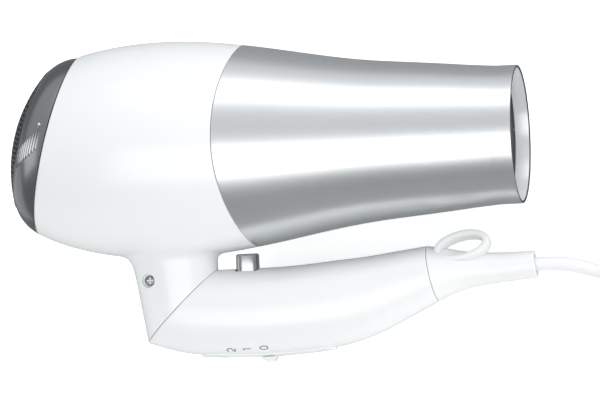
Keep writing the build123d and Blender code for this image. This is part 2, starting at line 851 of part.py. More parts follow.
def make_plug():
    """Moulded two-pin plug with its strain relief."""
    frame = plug_frame()
    relief = loft([frame * Circle(cord_r + 1.2), frame * Pos(0, 0, relief_len) * Circle(cord_r + 4.2)])
    waist = frame * Pos(0, 0, relief_len - 0.5) * RectangleRounded(plug_width * 0.6, plug_thick * 0.8, 6.0)
    face = frame * Pos(0, 0, relief_len + plug_len * 0.55) * RectangleRounded(plug_width, plug_thick, 8.0)
    end = frame * Pos(0, 0, relief_len + plug_len) * RectangleRounded(plug_width, plug_thick, 8.0)
    return relief + loft([waist, face]) + loft([face, end])


def make_pins():
    """Two round contact pins."""
    frame = plug_frame()
    start = relief_len + plug_len
    pins = [rod(frame * Pos(side * pin_pitch / 2, 0, 0), start, start + pin_len, pin_r) for side in (-1, 1)]
    pins = [fillet(pin.faces().sort_by(Axis.Y)[-1].edges(), 1.2) for pin in pins]
    return Compound([solid for pin in pins for solid in pin.solids()])


# ---------------------------------------------------------------- resting attitude
def floor_frame():
    """Plane of the floor in the design frame, with X along the barrel."""
    pitch = math.radians(lie_pitch)
    roll = math.radians(lie_roll)
    up = Vector(-math.sin(pitch), math.cos(pitch) * math.sin(roll), math.cos(pitch) * math.cos(roll))
    along = Vector(1, 0, 0) - up * up.X
    return Plane(origin=(0, 0, 0), x_dir=along, z_dir=up)


def lay_down(shapes):
    """Turn the dryer onto its side and put the middle of its floor box at the origin."""
    turn = floor_frame().location.inverse()
    laid = {name: shape.moved(turn) for name, shape in shapes.items()}
    boxes = [shape.bounding_box() for shape in laid.values()]
    low_x = min(box.min.X for box in boxes)
    high_x = max(box.max.X for box in boxes)
    low_y = min(box.min.Y for box in boxes)
    high_y = max(box.max.Y for box in boxes)
    low_z = min(box.min.Z for box in boxes)
    shift = Pos(-(low_x + high_x) / 2, -(low_y + high_y) / 2, -low_z)
    return {name: shape.moved(shift) for name, shape in laid.items()}, shift * turn


def build_dryer():
    """Every sub-part in the design frame, by node name."""
    housing = make_housing()
    handle = make_handle()
    made = {
        "housing_left": left_half(housing),
        "housing_right": right_half(housing),
        "barrel_sleeve": make_sleeve(),
        "stalk_screw": screw(stalk_screw_plane(), 5.2, 12.0),
        "trim_ring": make_trim_ring(),
        "inlet_dome": make_inlet_dome(),
        "inlet_carrier": make_inlet_carrier(),
        "motor_mount": make_motor_mount(),
        "motor_can": make_motor_can(),
        "motor_bushes": make_motor_bushes(),
        "motor_cap": make_motor_cap(),
        "rectifier_board": make_rectifier(),
        "motor_shaft": make_shaft(),
        "impeller": make_impeller(),
        "air_guide": make_air_guide(),
        "mica_tube": make_mica_tube(),
        "mica_cross": make_mica_cross(),
        "heater_coils": make_heater_coils(),
        "thermostat": make_thermostat(),
        "thermal_fuse": make_thermal_fuse(),
        "outlet_grille": make_outlet_grille(),
        "handle_left": left_half(handle),
        "handle_right": right_half(handle),
        "switch_plate": make_switch_plate(),
        "slide_knob": make_knob(),
        "switch_module": make_switch_module(),
        "switch_board": make_board(),
        "capacitor": make_capacitor(),
        "cool_microswitch": make_microswitch(),
        "button_seat": make_button_seat(),
        "cool_button": make_button(),
        "button_spring": make_button_spring(),
        "swivel_journal": make_journal(),
        "swivel_washer": make_washer(),
        "swivel_retainer": make_retainer(),
        "wire_bundle": make_wire_bundle(),
        "detent_ball": make_detent_ball(),
        "detent_spring": make_detent_spring(),
        "stop_pin": make_stop_pin(),
        "cord_guard": make_guard(),
        "lead_tail": make_lead_tail(),
        "cord_clamp": make_clamp(),
    }
    screws = []
    for x, y in handle_screws_at:
        screws += screw(Plane(origin=(x, y, 0), z_dir=(0, 0, -1)), 5.2, 12.0).solids()
    made["handle_screws"] = Compound(screws)
    return made


os.makedirs("parts", exist_ok=True)
dryer, placement = lay_down(build_dryer())
dryer["mains_cord"] = cord_tube(lead_in)
dryer["plug_lead"] = cord_tube(lead_out)
dryer["cord_coil"] = make_coil()
dryer["cord_tie"] = make_tie()
dryer["plug_body"] = make_plug()
dryer["plug_pins"] = make_pins()
for name, shape in dryer.items():
    export_step(shape, f"parts/{name}.step")
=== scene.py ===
"""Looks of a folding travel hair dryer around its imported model.

Shapes are worked out in the dryer's own drawing frame, in millimetres: X along the barrel
towards the outlet, Y from the folded handle up to the barrel, and Z across. place() turns
those points into the row frame, in metres.
"""

import json
import math

import bmesh
import bpy
import numpy as np
from mathutils import Matrix, Vector


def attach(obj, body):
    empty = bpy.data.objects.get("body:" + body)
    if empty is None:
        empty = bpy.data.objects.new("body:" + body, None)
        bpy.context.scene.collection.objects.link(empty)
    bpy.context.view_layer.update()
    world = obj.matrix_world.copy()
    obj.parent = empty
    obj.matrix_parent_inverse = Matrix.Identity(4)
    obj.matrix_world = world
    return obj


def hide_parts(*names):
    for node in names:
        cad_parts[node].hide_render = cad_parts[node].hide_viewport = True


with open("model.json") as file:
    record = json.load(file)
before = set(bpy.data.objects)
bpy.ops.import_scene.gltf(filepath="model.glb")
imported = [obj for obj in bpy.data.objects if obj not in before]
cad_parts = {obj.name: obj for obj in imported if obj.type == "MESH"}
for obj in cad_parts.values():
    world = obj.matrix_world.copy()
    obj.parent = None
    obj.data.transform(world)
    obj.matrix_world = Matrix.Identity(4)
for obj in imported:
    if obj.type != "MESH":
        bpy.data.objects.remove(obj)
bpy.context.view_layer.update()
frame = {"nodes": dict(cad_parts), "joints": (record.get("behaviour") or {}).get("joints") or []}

# ------------------------------------------------------------------ drawing frame
def unit(vectors):
    """Vectors along the last axis, scaled to length one."""
    vectors = np.asarray(vectors, float)
    return vectors / np.linalg.norm(vectors, axis=-1, keepdims=True)


joint_by_name = {joint["name"]: joint for joint in frame["joints"]}
spin, swivel = joint_by_name["fan_spin"], joint_by_name["handle_swivel"]
fan_pivot_back = 0.010
barrel_dir = unit(spin["axis"])
across_dir = unit(np.cross(swivel["axis"], barrel_dir))
upper_dir = np.cross(across_dir, barrel_dir)
drawing_axes = np.array([barrel_dir, upper_dir, across_dir])
drawing_origin = np.array(spin["pos_m"], float) + fan_pivot_back * barrel_dir


def place(points):
    """Row-frame metres of drawing-frame millimetres: origin plus each coordinate along its axis."""
    return drawing_origin + 0.001 * (np.asarray(points, float) @ drawing_axes)


def unplace(points):
    """Drawing-frame millimetres of row-frame metres, the reverse of place()."""
    return (np.asarray(points, float) - drawing_origin) @ drawing_axes.T * 1000.0


def linked(name, data):
    """New object of some data, linked to the scene."""
    made = bpy.data.objects.new(name, data)
    bpy.context.scene.collection.objects.link(made)
    return made


def aim(made, spot, axes):
    """Stands an object at a spot, with its own axes along the given ones."""
    made.matrix_world = Matrix.Translation(Vector(spot)) @ Matrix(axes.T.tolist()).to_4x4()


# ------------------------------------------------------------------ camera
view_yaw = math.radians(10.0)
view_tilt = math.radians(2.55)
view_reach = 2.6
view_width = 0.231
view_mid = (44.8, -21.5, 0.0)

ground_dir = np.array([math.cos(view_yaw), 0.0, -math.sin(view_yaw)])
view_right = math.cos(view_tilt) * ground_dir - math.sin(view_tilt) * np.array([0.0, 1.0, 0.0])
view_up = math.sin(view_tilt) * ground_dir + math.cos(view_tilt) * np.array([0.0, 1.0, 0.0])
view_back = np.array([math.sin(view_yaw), 0.0, math.cos(view_yaw)])
view_axes = np.array([view_right, view_up, view_back]) @ drawing_axes
view_target = place(view_mid)

sensor = 36.0
camera = linked("camera", bpy.data.cameras.new("camera"))
camera.data.sensor_width = sensor
camera.data.lens = sensor * view_reach / view_width
camera.data.clip_end = 30.0
aim(camera, view_target + view_reach * view_axes[2], view_axes)
bpy.context.scene.camera = camera
bpy.context.scene.view_settings.view_transform = "Standard"


# ------------------------------------------------------------------ finishes
class Wire:
    """A shader socket that takes part in sums; each operator adds its own Math node."""

    def __init__(self, finish, socket):
        self.finish = finish
        self.socket = socket

    def maths(self, operation, *values):
        made = self.finish.node("ShaderNodeMath", {"operation": operation}, dict(enumerate(values)))
        return made["Value"]

    def __add__(self, other):
        return self.maths("ADD", self, other)

    def __radd__(self, other):
        return self.maths("ADD", other, self)

    def __sub__(self, other):
        return self.maths("SUBTRACT", self, other)

    def __mul__(self, other):
        return self.maths("MULTIPLY", self, other)

    def kept(self):
        """Value held between 0 and 1."""
        return self.finish.node("ShaderNodeClamp", {}, {0: self})["Result"]


class Node:
    """A shader node whose outputs are read by name or number."""

    def __init__(self, finish, node):
        self.finish = finish
        self.node = node

    def __getitem__(self, key):
        return Wire(self.finish, self.node.outputs[key])


class Finish:
    """A material being wired, with its main shader."""

    def __init__(self, name, colour, roughness=0.4, metallic=0.0, **fixed):
        self.material = bpy.data.materials.new(name)
        self.material.use_nodes = True
        self.tree = self.material.node_tree
        self.shader = self.tree.nodes["Principled BSDF"]
        self.shader.inputs["Base Color"].default_value = (*colour, 1.0)
        self.shader.inputs["Roughness"].default_value = roughness
        self.shader.inputs["Metallic"].default_value = metallic
        for key, value in fixed.items():
            self.shader.inputs[key.replace("_", " ")].default_value = value
        self.material.diffuse_color = (*colour, 1.0)

    def node(self, kind, settings, inputs):
        """Adds a node: its settings first, then the values or links of its sockets."""
        made = self.tree.nodes.new(kind)
        for key, value in settings.items():
            setattr(made, key, value)
        for key, value in inputs.items():
            if isinstance(value, Wire):
                self.tree.links.new(value.socket, made.inputs[key])
            else:
                made.inputs[key].default_value = value
        return Node(self, made)

    def feed(self, socket, wire):
        """Links a wire to one of the main shader's sockets."""
        self.tree.links.new(wire.socket, self.shader.inputs[socket])

    def spot(self):
        """Object coordinates, in metres."""
        return self.node("ShaderNodeTexCoord", {}, {})["Object"]

    def noise(self, scale, detail=2.0):
        """Noise value about 0.5, whose grain is one part in scale of a metre."""
        inputs = {"Vector": self.spot(), "Scale": scale, "Detail": detail, "Roughness": 0.5}
        return self.node("ShaderNodeTexNoise", {}, inputs)["Fac"]

    def cells(self, scale):
        """Irregular cells whose size is one part in scale of a metre."""
        return self.node("ShaderNodeTexVoronoi", {}, {"Vector": self.spot(), "Scale": scale})

    def mixed(self, share, first, second):
        """Colour between two, by a share."""
        ready = [value if isinstance(value, Wire) else (*value, 1.0) for value in (first, second)]
        return self.node("ShaderNodeMix", {"data_type": "RGBA"},
                         {0: share, 6: ready[0], 7: ready[1]})[2]

    def bump(self, height, depth, strength=1.0):
        """Bends the surface by a height of 0 to 1 times a depth in metres."""
        bent = self.node("ShaderNodeBump", {},
                         {"Height": height, "Distance": depth, "Strength": strength})
        self.feed("Normal", bent["Normal"])


def moulded(name, colour, roughness, spread=0.05, grain=1400.0, depth=0.000004, tone=0.03, **fixed):
    """Moulded plastic: its gloss and tone drift slowly, over a fine skin grain."""
    finish = Finish(name, colour, roughness, **fixed)
    slow = finish.noise(38.0, 3.0)
    finish.feed("Roughness", roughness - spread / 2 + slow * spread)
    darker = tuple(channel * (1.0 - tone) for channel in colour)
    lighter = tuple(min(channel * (1.0 + tone), 1.0) for channel in colour)
    finish.feed("Base Color", finish.mixed(slow, darker, lighter))
    finish.bump(finish.noise(grain, 2.0) + finish.noise(grain / 16.0, 1.0) * 3.0, depth)
    return finish.material


def metal(name, colour, roughness, grain=3000.0, depth=0.000003, spread=0.08, **fixed):
    """Plain metal with fine drawn scratches in its gloss."""
    finish = Finish(name, colour, roughness, 1.0, **fixed)
    finish.feed("Roughness", roughness - spread / 2 + finish.noise(grain, 4.0) * spread)
    finish.bump(finish.noise(grain, 2.0), depth)
    return finish.material


def silver_paint():
    """Silver lacquer: metal flakes of slightly different tone and tilt under a satin clear coat."""
    finish = Finish("silver_lacquer", (0.75, 0.77, 0.775), 0.30, 0.85, Coat_Weight=0.25,
                    Coat_Roughness=0.18)
    flake = finish.cells(5200.0)["Color"]
    tone = finish.node("ShaderNodeSeparateColor", {}, {0: flake})["Red"]
    slow = finish.noise(30.0, 2.0)
    finish.feed("Base Color",
                finish.mixed(tone * 0.6 + slow * 0.4, (0.70, 0.72, 0.73), (0.80, 0.815, 0.82)))
    finish.feed("Roughness", 0.27 + tone * 0.05 + slow * 0.04)
    finish.bump(tone, 0.000012, 0.35)
    return finish.material


def perforated_black():
    """Black punched sheet: satin lacquer, a little lighter where hands rub it."""
    finish = Finish("black_mesh", (0.020, 0.021, 0.022), 0.42, 0.5)
    worn = finish.noise(160.0, 4.0)
    finish.feed("Base Color",
                finish.mixed((worn * 2.0 - 0.9).kept(), (0.016, 0.017, 0.018),
                             (0.05, 0.052, 0.054)))
    finish.feed("Roughness", 0.34 + worn * 0.14)
    finish.bump(finish.noise(2600.0, 2.0), 0.000006)
    return finish.material


def mica():
    """Mica board: pale flaky sheet with dark inclusions."""
    finish = Finish("mica_board", (0.40, 0.35, 0.28), 0.45)
    flakes = finish.cells(620.0)["Distance"]
    veins = finish.noise(300.0, 5.0)
    finish.feed("Base Color",
                finish.mixed((flakes * 1.4).kept(), (0.20, 0.17, 0.14), (0.52, 0.47, 0.39)))
    finish.feed("Roughness", 0.30 + veins * 0.3)
    finish.bump(flakes, 0.00005)
    return finish.material


def shaded_outlet_charcoal():
    """Painted shade for the inside of the outlet: charcoal with pale specks of dust."""
    finish = Finish("painted_outlet_shade", (0.050, 0.054, 0.058), 0.62)
    specks = (finish.noise(900.0, 3.0) * 9.0 - 5.6).kept()
    haze = finish.noise(120.0, 4.0)
    base = finish.mixed(haze, (0.030, 0.033, 0.036), (0.085, 0.090, 0.096))
    finish.feed("Base Color", finish.mixed(specks * 0.45, base, (0.50, 0.52, 0.53)))
    finish.feed("Roughness", 0.5 + haze * 0.25)
    finish.bump(finish.noise(1500.0, 3.0), 0.00002)
    return finish.material


white_shell = moulded("white_abs", (0.83, 0.845, 0.845), 0.24, 0.06, 900.0, 0.0000025, 0.012,
                      Coat_Weight=0.12, Coat_Roughness=0.08)
silver = silver_paint()
ring_grey = moulded("ring_grey", (0.30, 0.315, 0.315), 0.24, 0.06, 1800.0, 0.000003, 0.06,
                    Metallic=1.0)
mesh_black = perforated_black()
carrier_black = moulded("carrier_black", (0.018, 0.019, 0.020), 0.48)
button_grey = moulded("button_grey", (0.44, 0.45, 0.46), 0.20, 0.05, 1200.0, 0.000003, 0.03,
                      Metallic=1.0)
lead_white = moulded("lead_white", (0.84, 0.84, 0.86), 0.38, 0.08, 1600.0, 0.00001, 0.02)
soft_white = moulded("guard_white", (0.82, 0.83, 0.825), 0.34, 0.08, 1500.0, 0.000006, 0.015)
print_grey = moulded("print_grey", (0.10, 0.105, 0.11), 0.5, 0.08, 4000.0, 0.000003, 0.1)
dot_white = moulded("mark_white", (0.85, 0.86, 0.86), 0.35)
# Painted light: a lighter, less metallic copy of the barrel's silver, for the lit inner wall of the
# outlet.
lit_throat_silver = moulded("lit_throat_silver", (0.86, 0.875, 0.89), 0.25, 0.08, 1400.0, 0.000004, 0.06,
                        Metallic=0.25)
# Painted shade: near-black for thin rings standing where a lip or recess is in shade.
recess_shade_dark = moulded("painted_recess_shade", (0.03, 0.031, 0.033), 0.6)
outlet_shade_charcoal = shaded_outlet_charcoal()
mica_board = mica()
steel = metal("steel", (0.58, 0.59, 0.60), 0.26)
# Painted shade: a much darker copy of the steel, for the screw heads deep in their wells.
screw_steel = metal("screw_steel", (0.20, 0.205, 0.21), 0.30)
motor_steel = metal("motor_can_steel", (0.46, 0.47, 0.48), 0.38)
brass = metal("plug_brass", (0.74, 0.66, 0.48), 0.24)
bronze = metal("bearing_bronze", (0.48, 0.33, 0.18), 0.36)
heater_wire = metal("heater_wire", (0.42, 0.38, 0.34), 0.42)
fan_black = moulded("fan_black", (0.030, 0.031, 0.033), 0.44)
duct_black = moulded("duct_black", (0.045, 0.046, 0.048), 0.5)
board_green = moulded("board_green", (0.045, 0.115, 0.055), 0.42, 0.1, 2400.0, 0.000008, 0.15)
part_black = moulded("component_black", (0.025, 0.025, 0.026), 0.46)
part_amber = moulded("capacitor_amber", (0.46, 0.22, 0.05), 0.34)
sleeve_grey = moulded("sleeving_grey", (0.22, 0.22, 0.22), 0.6)
tie_black = moulded("tie_black", (0.025, 0.025, 0.027), 0.5, 0.1, 2200.0, 0.00001, 0.1)

# ------------------------------------------------------------------ mains lead
lead_width = 0.0055
lead_in = [
    (0.0963, -0.0283, 0.0109), (0.1075, -0.0276, 0.0100), (0.1195, -0.0302, 0.0069),
    (0.1335, -0.0348, 0.0044), (0.1495, -0.0379, 0.0039), (0.1650, -0.0384, 0.0038),
]
lead_out = [
    (0.2015, -0.0256, 0.0148), (0.2100, -0.0180, 0.0146), (0.2182, -0.0096, 0.0126),
    (0.2246, 0.0006, 0.0104), (0.2274, 0.0095, 0.0094), (0.2280, 0.0190, 0.0090),
]
coil_mid = (0.1740, -0.0015)
row_radius = [36.5, 31.0, 25.5, 25.5, 31.0, 36.5, 31.0, 36.5]
row_height = [3.8, 3.8, 3.8, 9.3, 9.3, 9.3, 14.8, 14.8]
step_half = 0.15
turn_at = [0.0] + [turn + side for turn in range(1, 8) for side in (-step_half, step_half)] + [8.2]


def coil_points():
    """Turns of the wound lead: 12 points a turn, whose radius and height step between rows."""
    count = np.arange(98)
    turned = count / 12.0
    angle = math.radians(-90.0) + 2 * math.pi * turned
    radius = 0.001 * np.interp(turned, turn_at, np.repeat(row_radius, 2))
    height = 0.001 * np.interp(turned, turn_at, np.repeat(row_height, 2))
    x, y = (mid + radius * wave(angle) for mid, wave in zip(coil_mid, (np.cos, np.sin)))
    return np.stack([x, y, height], 1)


def make_lead():
    """The whole lead as one smooth NURBS line through its route."""
    route = np.vstack([lead_in, coil_points(), lead_out])
    line = bpy.data.curves.new("mains_lead", "CURVE")
    line.dimensions = "3D"
    run = line.splines.new("NURBS")
    run.points.add(len(route) - 1)
    run.points.foreach_set("co", np.hstack([route, np.ones((len(route), 1))]).ravel())
    run.order_u = 3
    run.use_endpoint_u = True
    line.resolution_u = 6
    line.bevel_depth = lead_width / 2
    line.bevel_resolution = 4
    line.use_fill_caps = True
    lead = linked("mains_lead", line)
    lead.data.materials.append(lead_white)
    return lead


lead = make_lead()
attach(lead, "handle")
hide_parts("mains_cord", "plug_lead", "cord_coil")


# ------------------------------------------------------------------ surfaces
def full_turn(count):
    """Even angles once round."""
    return np.linspace(0, 2 * math.pi, count, endpoint=False)


def circle(angle):
    """Cosine and sine of angles, side by side."""
    return np.stack([np.cos(angle), np.sin(angle)], -1)


def turned_from(angles, spot):
    """Angles counted from a spot, within half a turn either way."""
    return (angles - spot + math.pi) % (2 * math.pi) - math.pi


def way_along(path):
    """Distance along a path at each of its points."""
    return np.concatenate([[0], np.cumsum(np.linalg.norm(np.diff(path, axis=0), axis=1))])


def smooth_through(knots, values, first=None, last=None):
    """Cubic line through rows of values at the knots. Its slopes solve the equations that keep
    the second derivative continuous; an end with no slope given has no curvature."""
    knots = np.asarray(knots, float)
    values = np.asarray(values, float).reshape(len(knots), -1)
    size = len(knots)
    step = np.diff(knots)
    rise = np.diff(values, axis=0) / step[:, None]
    system = np.zeros((size, size))
    right = np.zeros_like(values)
    inner = np.arange(1, size - 1)
    system[inner, inner - 1] = 1 / step[:-1]
    system[inner, inner] = 2 / step[:-1] + 2 / step[1:]
    system[inner, inner + 1] = 1 / step[1:]
    right[inner] = 3 * (rise[:-1] / step[:-1, None] + rise[1:] / step[1:, None])
    system[0, :2] = (2, 1) if first is None else (1, 0)
    right[0] = 3 * rise[0] if first is None else first
    system[-1, -2:] = (1, 2) if last is None else (0, 1)
    right[-1] = 3 * rise[-1] if last is None else last
    slope = np.linalg.solve(system, right)

    def at(where):
        """Values of the line at any places between the knots."""
        where = np.asarray(where, float)
        index = np.clip(np.searchsorted(knots, where) - 1, 0, size - 2)
        width = step[index][..., None]
        share = ((where - knots[index]) / step[index])[..., None]
        low, high = values[index], values[index + 1]
        rest = 1 - share
        return ((1 + 2 * share) * rest ** 2 * low + share * rest ** 2 * width * slope[index]
                + share ** 2 * (3 - 2 * share) * high
                - share ** 2 * rest * width * slope[index + 1])

    return at


def quads_between(first, second):
    """Four-cornered faces between loops of point numbers and the loops that follow them."""
    corners = [first, np.roll(first, -1, 1), np.roll(second, -1, 1), second]
    return np.stack(corners, -1).reshape(-1, 4).tolist()


def piece(name, rows, finish, body=None, nodes=(), wrap_rows=False, sharp=38.0):
    """Closed mesh from a grid of points: each row is a closed loop, rows follow each other, and
    both ends close with a fan to the middle of their row, or the last row joins the first."""
    rows = np.asarray(rows, float)
    count, around = rows.shape[:2]
    points = rows.reshape(-1, 3)
    index = np.arange(count * around).reshape(count, around)
    upper = np.vstack([index, index[:1]]) if wrap_rows else index
    faces = quads_between(upper[:-1], upper[1:])
    if not wrap_rows:
        for rim, turned, middle in ((np.roll(index[0], -1), index[0], len(points)),
                                    (index[-1], np.roll(index[-1], -1), len(points) + 1)):
            faces += np.stack([rim, turned, np.full(around, middle)], -1).tolist()
        points = np.vstack([points, rows[0].mean(0), rows[-1].mean(0)])
    return solid(name, points, faces, finish, body, nodes, sharp)


def solid(name, points, faces, finish, body=None, nodes=(), sharp=38.0):
    """Mesh object of drawing-frame points, turned right side out, smooth except at sharp edges."""
    mesh = bpy.data.meshes.new(name)
    mesh.from_pydata(place(points).tolist(), [], faces)
    mesh.validate()
    made = linked(name, mesh)
    finish_mesh(made, sharp)
    made.data.materials.append(finish)
    if body:
        settle(made, body, nodes)
    return made


same_spot = 0.0000005


def smoothed(made, sharp):
    """Shades a mesh smooth except at edges sharper than an angle in degrees."""
    made.data.shade_smooth()
    made.data.set_sharp_from_angle(angle=math.radians(sharp))


def finish_mesh(made, sharp):
    """Merges doubled points, points faces outwards and marks edges sharper than an angle."""
    shape = bmesh.new()
    shape.from_mesh(made.data)
    bmesh.ops.remove_doubles(shape, verts=shape.verts, dist=same_spot)
    bmesh.ops.dissolve_degenerate(shape, edges=shape.edges, dist=same_spot)
    bmesh.ops.recalc_face_normals(shape, faces=shape.faces)
    shape.to_mesh(made.data)
    shape.free()
    smoothed(made, sharp)


def settle(made, body, nodes=()):
    """Hangs a piece on its body, and lets it stand for its CAD nodes."""
    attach(made, body)
    if nodes:
        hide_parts(*nodes)


def joined(name, parts, body, nodes=()):
    """One object made of several closed meshes."""
    with bpy.context.temp_override(active_object=parts[0], object=parts[0],
                                   selected_editable_objects=parts,
                                   selected_objects=parts):
        bpy.ops.object.join()
    whole = parts[0]
    whole.name = name
    whole.data.name = name
    settle(whole, body, nodes)
    return whole


def cut(made, cutters, sharp=38.0):
    """Takes closed cutters out of a closed mesh."""
    for cutter in cutters:
        step = made.modifiers.new("cut", "BOOLEAN")
        step.operation = "DIFFERENCE"
        step.solver = "EXACT"
        step.object = cutter
    bpy.context.view_layer.update()
    graph = bpy.context.evaluated_depsgraph_get()
    result = bpy.data.meshes.new_from_object(made.evaluated_get(graph))
    made.modifiers.clear()
    old = made.data
    made.data = result
    bpy.data.meshes.remove(old)
    for cutter in cutters:
        bpy.data.objects.remove(cutter)
    smoothed(made, sharp)
    return made


def turns(count, clustered=(), width=0.012):
    """Angles around a section, with a few more beside each parting line."""
    even = full_turn(count)
    for spot in clustered:
        even = even[np.abs(turned_from(even, spot)) > 1.6 * width]
        even = np.concatenate([even,
                               spot + width * np.array([-1.5, -0.8, -0.4, 0.0, 0.4, 0.8, 1.5])])
    return np.sort(even % (2 * math.pi))


def parting(angles, spots, depth, width=0.012):
    """Depth of the parting groove at each angle: a narrow bell at each line."""
    total = np.zeros_like(angles)
    for spot in spots:
        total += depth * np.exp(-((turned_from(angles, spot) / (0.45 * width)) ** 2))
    return total


def rolled(edge, count=5):
    """Quarter-round edge: pairs of how far along and how far in, from the end face outwards."""
    angle = np.linspace(math.pi / 2, 0, count)
    return np.stack([edge * (1 - np.sin(angle)), edge * (1 - np.cos(angle))], 1)


def block(middle, axes, half, power, count=28):
    """Rounded block: directions of a sphere, each divided by its own high-power norm."""
    polar = np.linspace(0.0, math.pi, count)[1:-1, None]
    turn = full_turn(2 * count)
    flat = (np.sin(polar) * np.cos(turn), np.sin(polar) * np.sin(turn), np.cos(polar))
    ring = np.stack(np.broadcast_arrays(*flat), -1)
    ring = ring / (np.abs(ring) ** power).sum(-1, keepdims=True) ** (1 / power)
    return np.asarray(middle) + (ring * np.asarray(half)) @ np.asarray(axes, float)


def drum(origin, direction, profile, count=48):
    """Rows of a turned piece: each (height, radius) pair is a circle about the axis."""
    direction = unit(direction)
    away = (1.0, 0.0, 0.0) if abs(direction[2]) > 0.9 else (0.0, 0.0, 1.0)
    side = unit(np.cross(direction, away))
    ring = circle(full_turn(count)) @ np.array([side, np.cross(direction, side)])
    height, radius = np.asarray(profile, float).T[:, :, None, None]
    return np.asarray(origin) + height * direction + radius * ring


# ------------------------------------------------------------------ barrel
outlet_x, outlet_r = 131.5, 26.6
barrel_spots = np.array([(-60.0, 29.1), (-38.0, 38.0), (-5.0, 41.8), (34.0, 37.8), (70.0, 31.6),
                         (99.0, 28.8), (123.5, 26.6)])
barrel_knots = way_along(barrel_spots)
barrel_curve = smooth_through(barrel_knots, barrel_spots, unit((1, 0.62)), unit((1, -0.06)))
barrel_line = barrel_curve(np.linspace(0, barrel_knots[-1], 1500))
seam_x, seam_drum_r, seam_drum_y, seam_half_gap = 18.3, 96.0, 3.0, 0.1
trim_x, trim_y, trim_tilt = -48.0, 3.3, math.radians(15.5)
trim_spot = np.array([trim_x, trim_y, 0.0])
trim_dir = np.array([-math.cos(trim_tilt), math.sin(trim_tilt), 0.0])


def barrel_radius(x):
    """Outer radius of the barrel at a station."""
    return np.where(x < barrel_line[-1, 0], np.interp(x, barrel_line[:, 0], barrel_line[:, 1]),
                    outlet_r)


def seam_station(angle, gap):
    """Station at which the outline meets the seam drum, found by a few repeats."""
    x = np.full_like(angle, seam_x)
    for _ in range(30):
        height = barrel_radius(x) * np.sin(angle) - seam_drum_y
        x = seam_x + seam_drum_r - np.sqrt((seam_drum_r + gap) ** 2 - height ** 2)
    return x


def trim_station(angle):
    """Station at which the outline meets the tilted inlet plane, found by a few repeats."""
    x = np.full_like(angle, trim_x)
    for _ in range(30):
        x = trim_x + math.tan(trim_tilt) * (barrel_radius(x) * np.sin(angle) - trim_y)
    return x


def barrel_point(x, radius, angle):
    """Point of the barrel: station along X, radius turned by an angle from +Z towards +Y."""
    return np.stack(np.broadcast_arrays(x, radius * np.sin(angle), radius * np.cos(angle)), -1)


def barrel_shell(start, end, angle, wall, edge, groove, rows=72):
    """Shell of the barrel between two edges: outside with rounded rims, then the inside back."""
    share = 0.5 - 0.5 * np.cos(np.linspace(0, math.pi, rows))
    lip = rolled(edge)
    near = start[None, :] + lip[:, :1]
    far_off = end[None, :] - lip[::-1, :1]
    middle = (start + edge)[None, :] + share[1:-1, None] * (end - start - 2 * edge)[None, :]
    x_out = np.vstack([near, middle, far_off])
    inset = np.concatenate([lip[:, 1], np.zeros(len(middle)), lip[::-1, 1]])
    r_out = barrel_radius(x_out) - inset[:, None] - groove[None, :]
    x_in = end[None, :] - np.linspace(0, 1, 30)[:, None] * (end - start)[None, :]
    r_in = barrel_radius(x_in) - wall
    rows_out = barrel_point(x_out, r_out, angle[None, :])
    rows_in = barrel_point(x_in, r_in, angle[None, :])
    return np.concatenate([rows_out, rows_in])


parting_angles = (math.pi / 2, 3 * math.pi / 2)
parting_depth = 0.16
housing_turn = turns(240, parting_angles)
housing_ends = trim_station(housing_turn), seam_station(housing_turn, seam_half_gap)
housing_rows = barrel_shell(*housing_ends, housing_turn, wall=2.2, edge=0.35,
                            groove=parting(housing_turn, parting_angles, parting_depth))
housing_shell = piece("housing_shell", housing_rows, white_shell, wrap_rows=True)

sleeve_turn = turns(240)
sleeve_ends = seam_station(sleeve_turn, -seam_half_gap), np.full_like(sleeve_turn, outlet_x)
sleeve_rows = barrel_shell(*sleeve_ends, sleeve_turn, wall=0.9, edge=0.2,
                           groove=np.zeros_like(sleeve_turn), rows=110)
piece("silver_barrel", sleeve_rows, silver, "barrel", ["barrel_sleeve"],
      wrap_rows=True)

# ------------------------------------------------------------------ stalk and handle
mitre_ring = ((11.4, -47.0), (-16.8, -74.2), 13.0)
stalk_rings = [
    mitre_ring, ((11.5, -43.5), (-19.2, -58.5), 13.3), ((12.0, -39.0), (-21.6, -45.0), 13.9),
    ((14.0, -33.0), (-25.0, -33.0), 15.5), ((16.0, -22.0), (-27.0, -22.0), 17.0)]
handle_rings = [
    mitre_ring, ((17.5, -47.0), (-4.5, -78.1), 13.6), ((24.5, -47.0), (12.0, -80.2), 14.0),
    ((33.0, -46.9), (29.0, -80.6), 14.2), ((45.0, -46.4), (45.0, -79.9), 14.2),
    ((58.0, -45.3), (58.5, -78.4), 14.0), ((69.0, -44.4), (71.0, -75.1), 13.5),
    ((81.0, -42.9), (84.0, -69.4), 12.8), ((93.4, -41.3), (97.3, -62.8), 12.0)]
guard_rings = [
    handle_rings[-1], ((99.0, -42.2), (101.5, -60.9), 10.3), ((106.0, -43.6), (107.5, -58.8), 8.4),
    ((117.0, -44.8), (118.0, -57.0), 6.5), ((134.9, -44.7), (135.9, -55.3), 5.3)]


def spine(ring):
    """Middle of an oval and the half-axis from there to its inner point."""
    return (ring[..., :2] + ring[..., 2:4]) / 2, (ring[..., :2] - ring[..., 2:4]) / 2


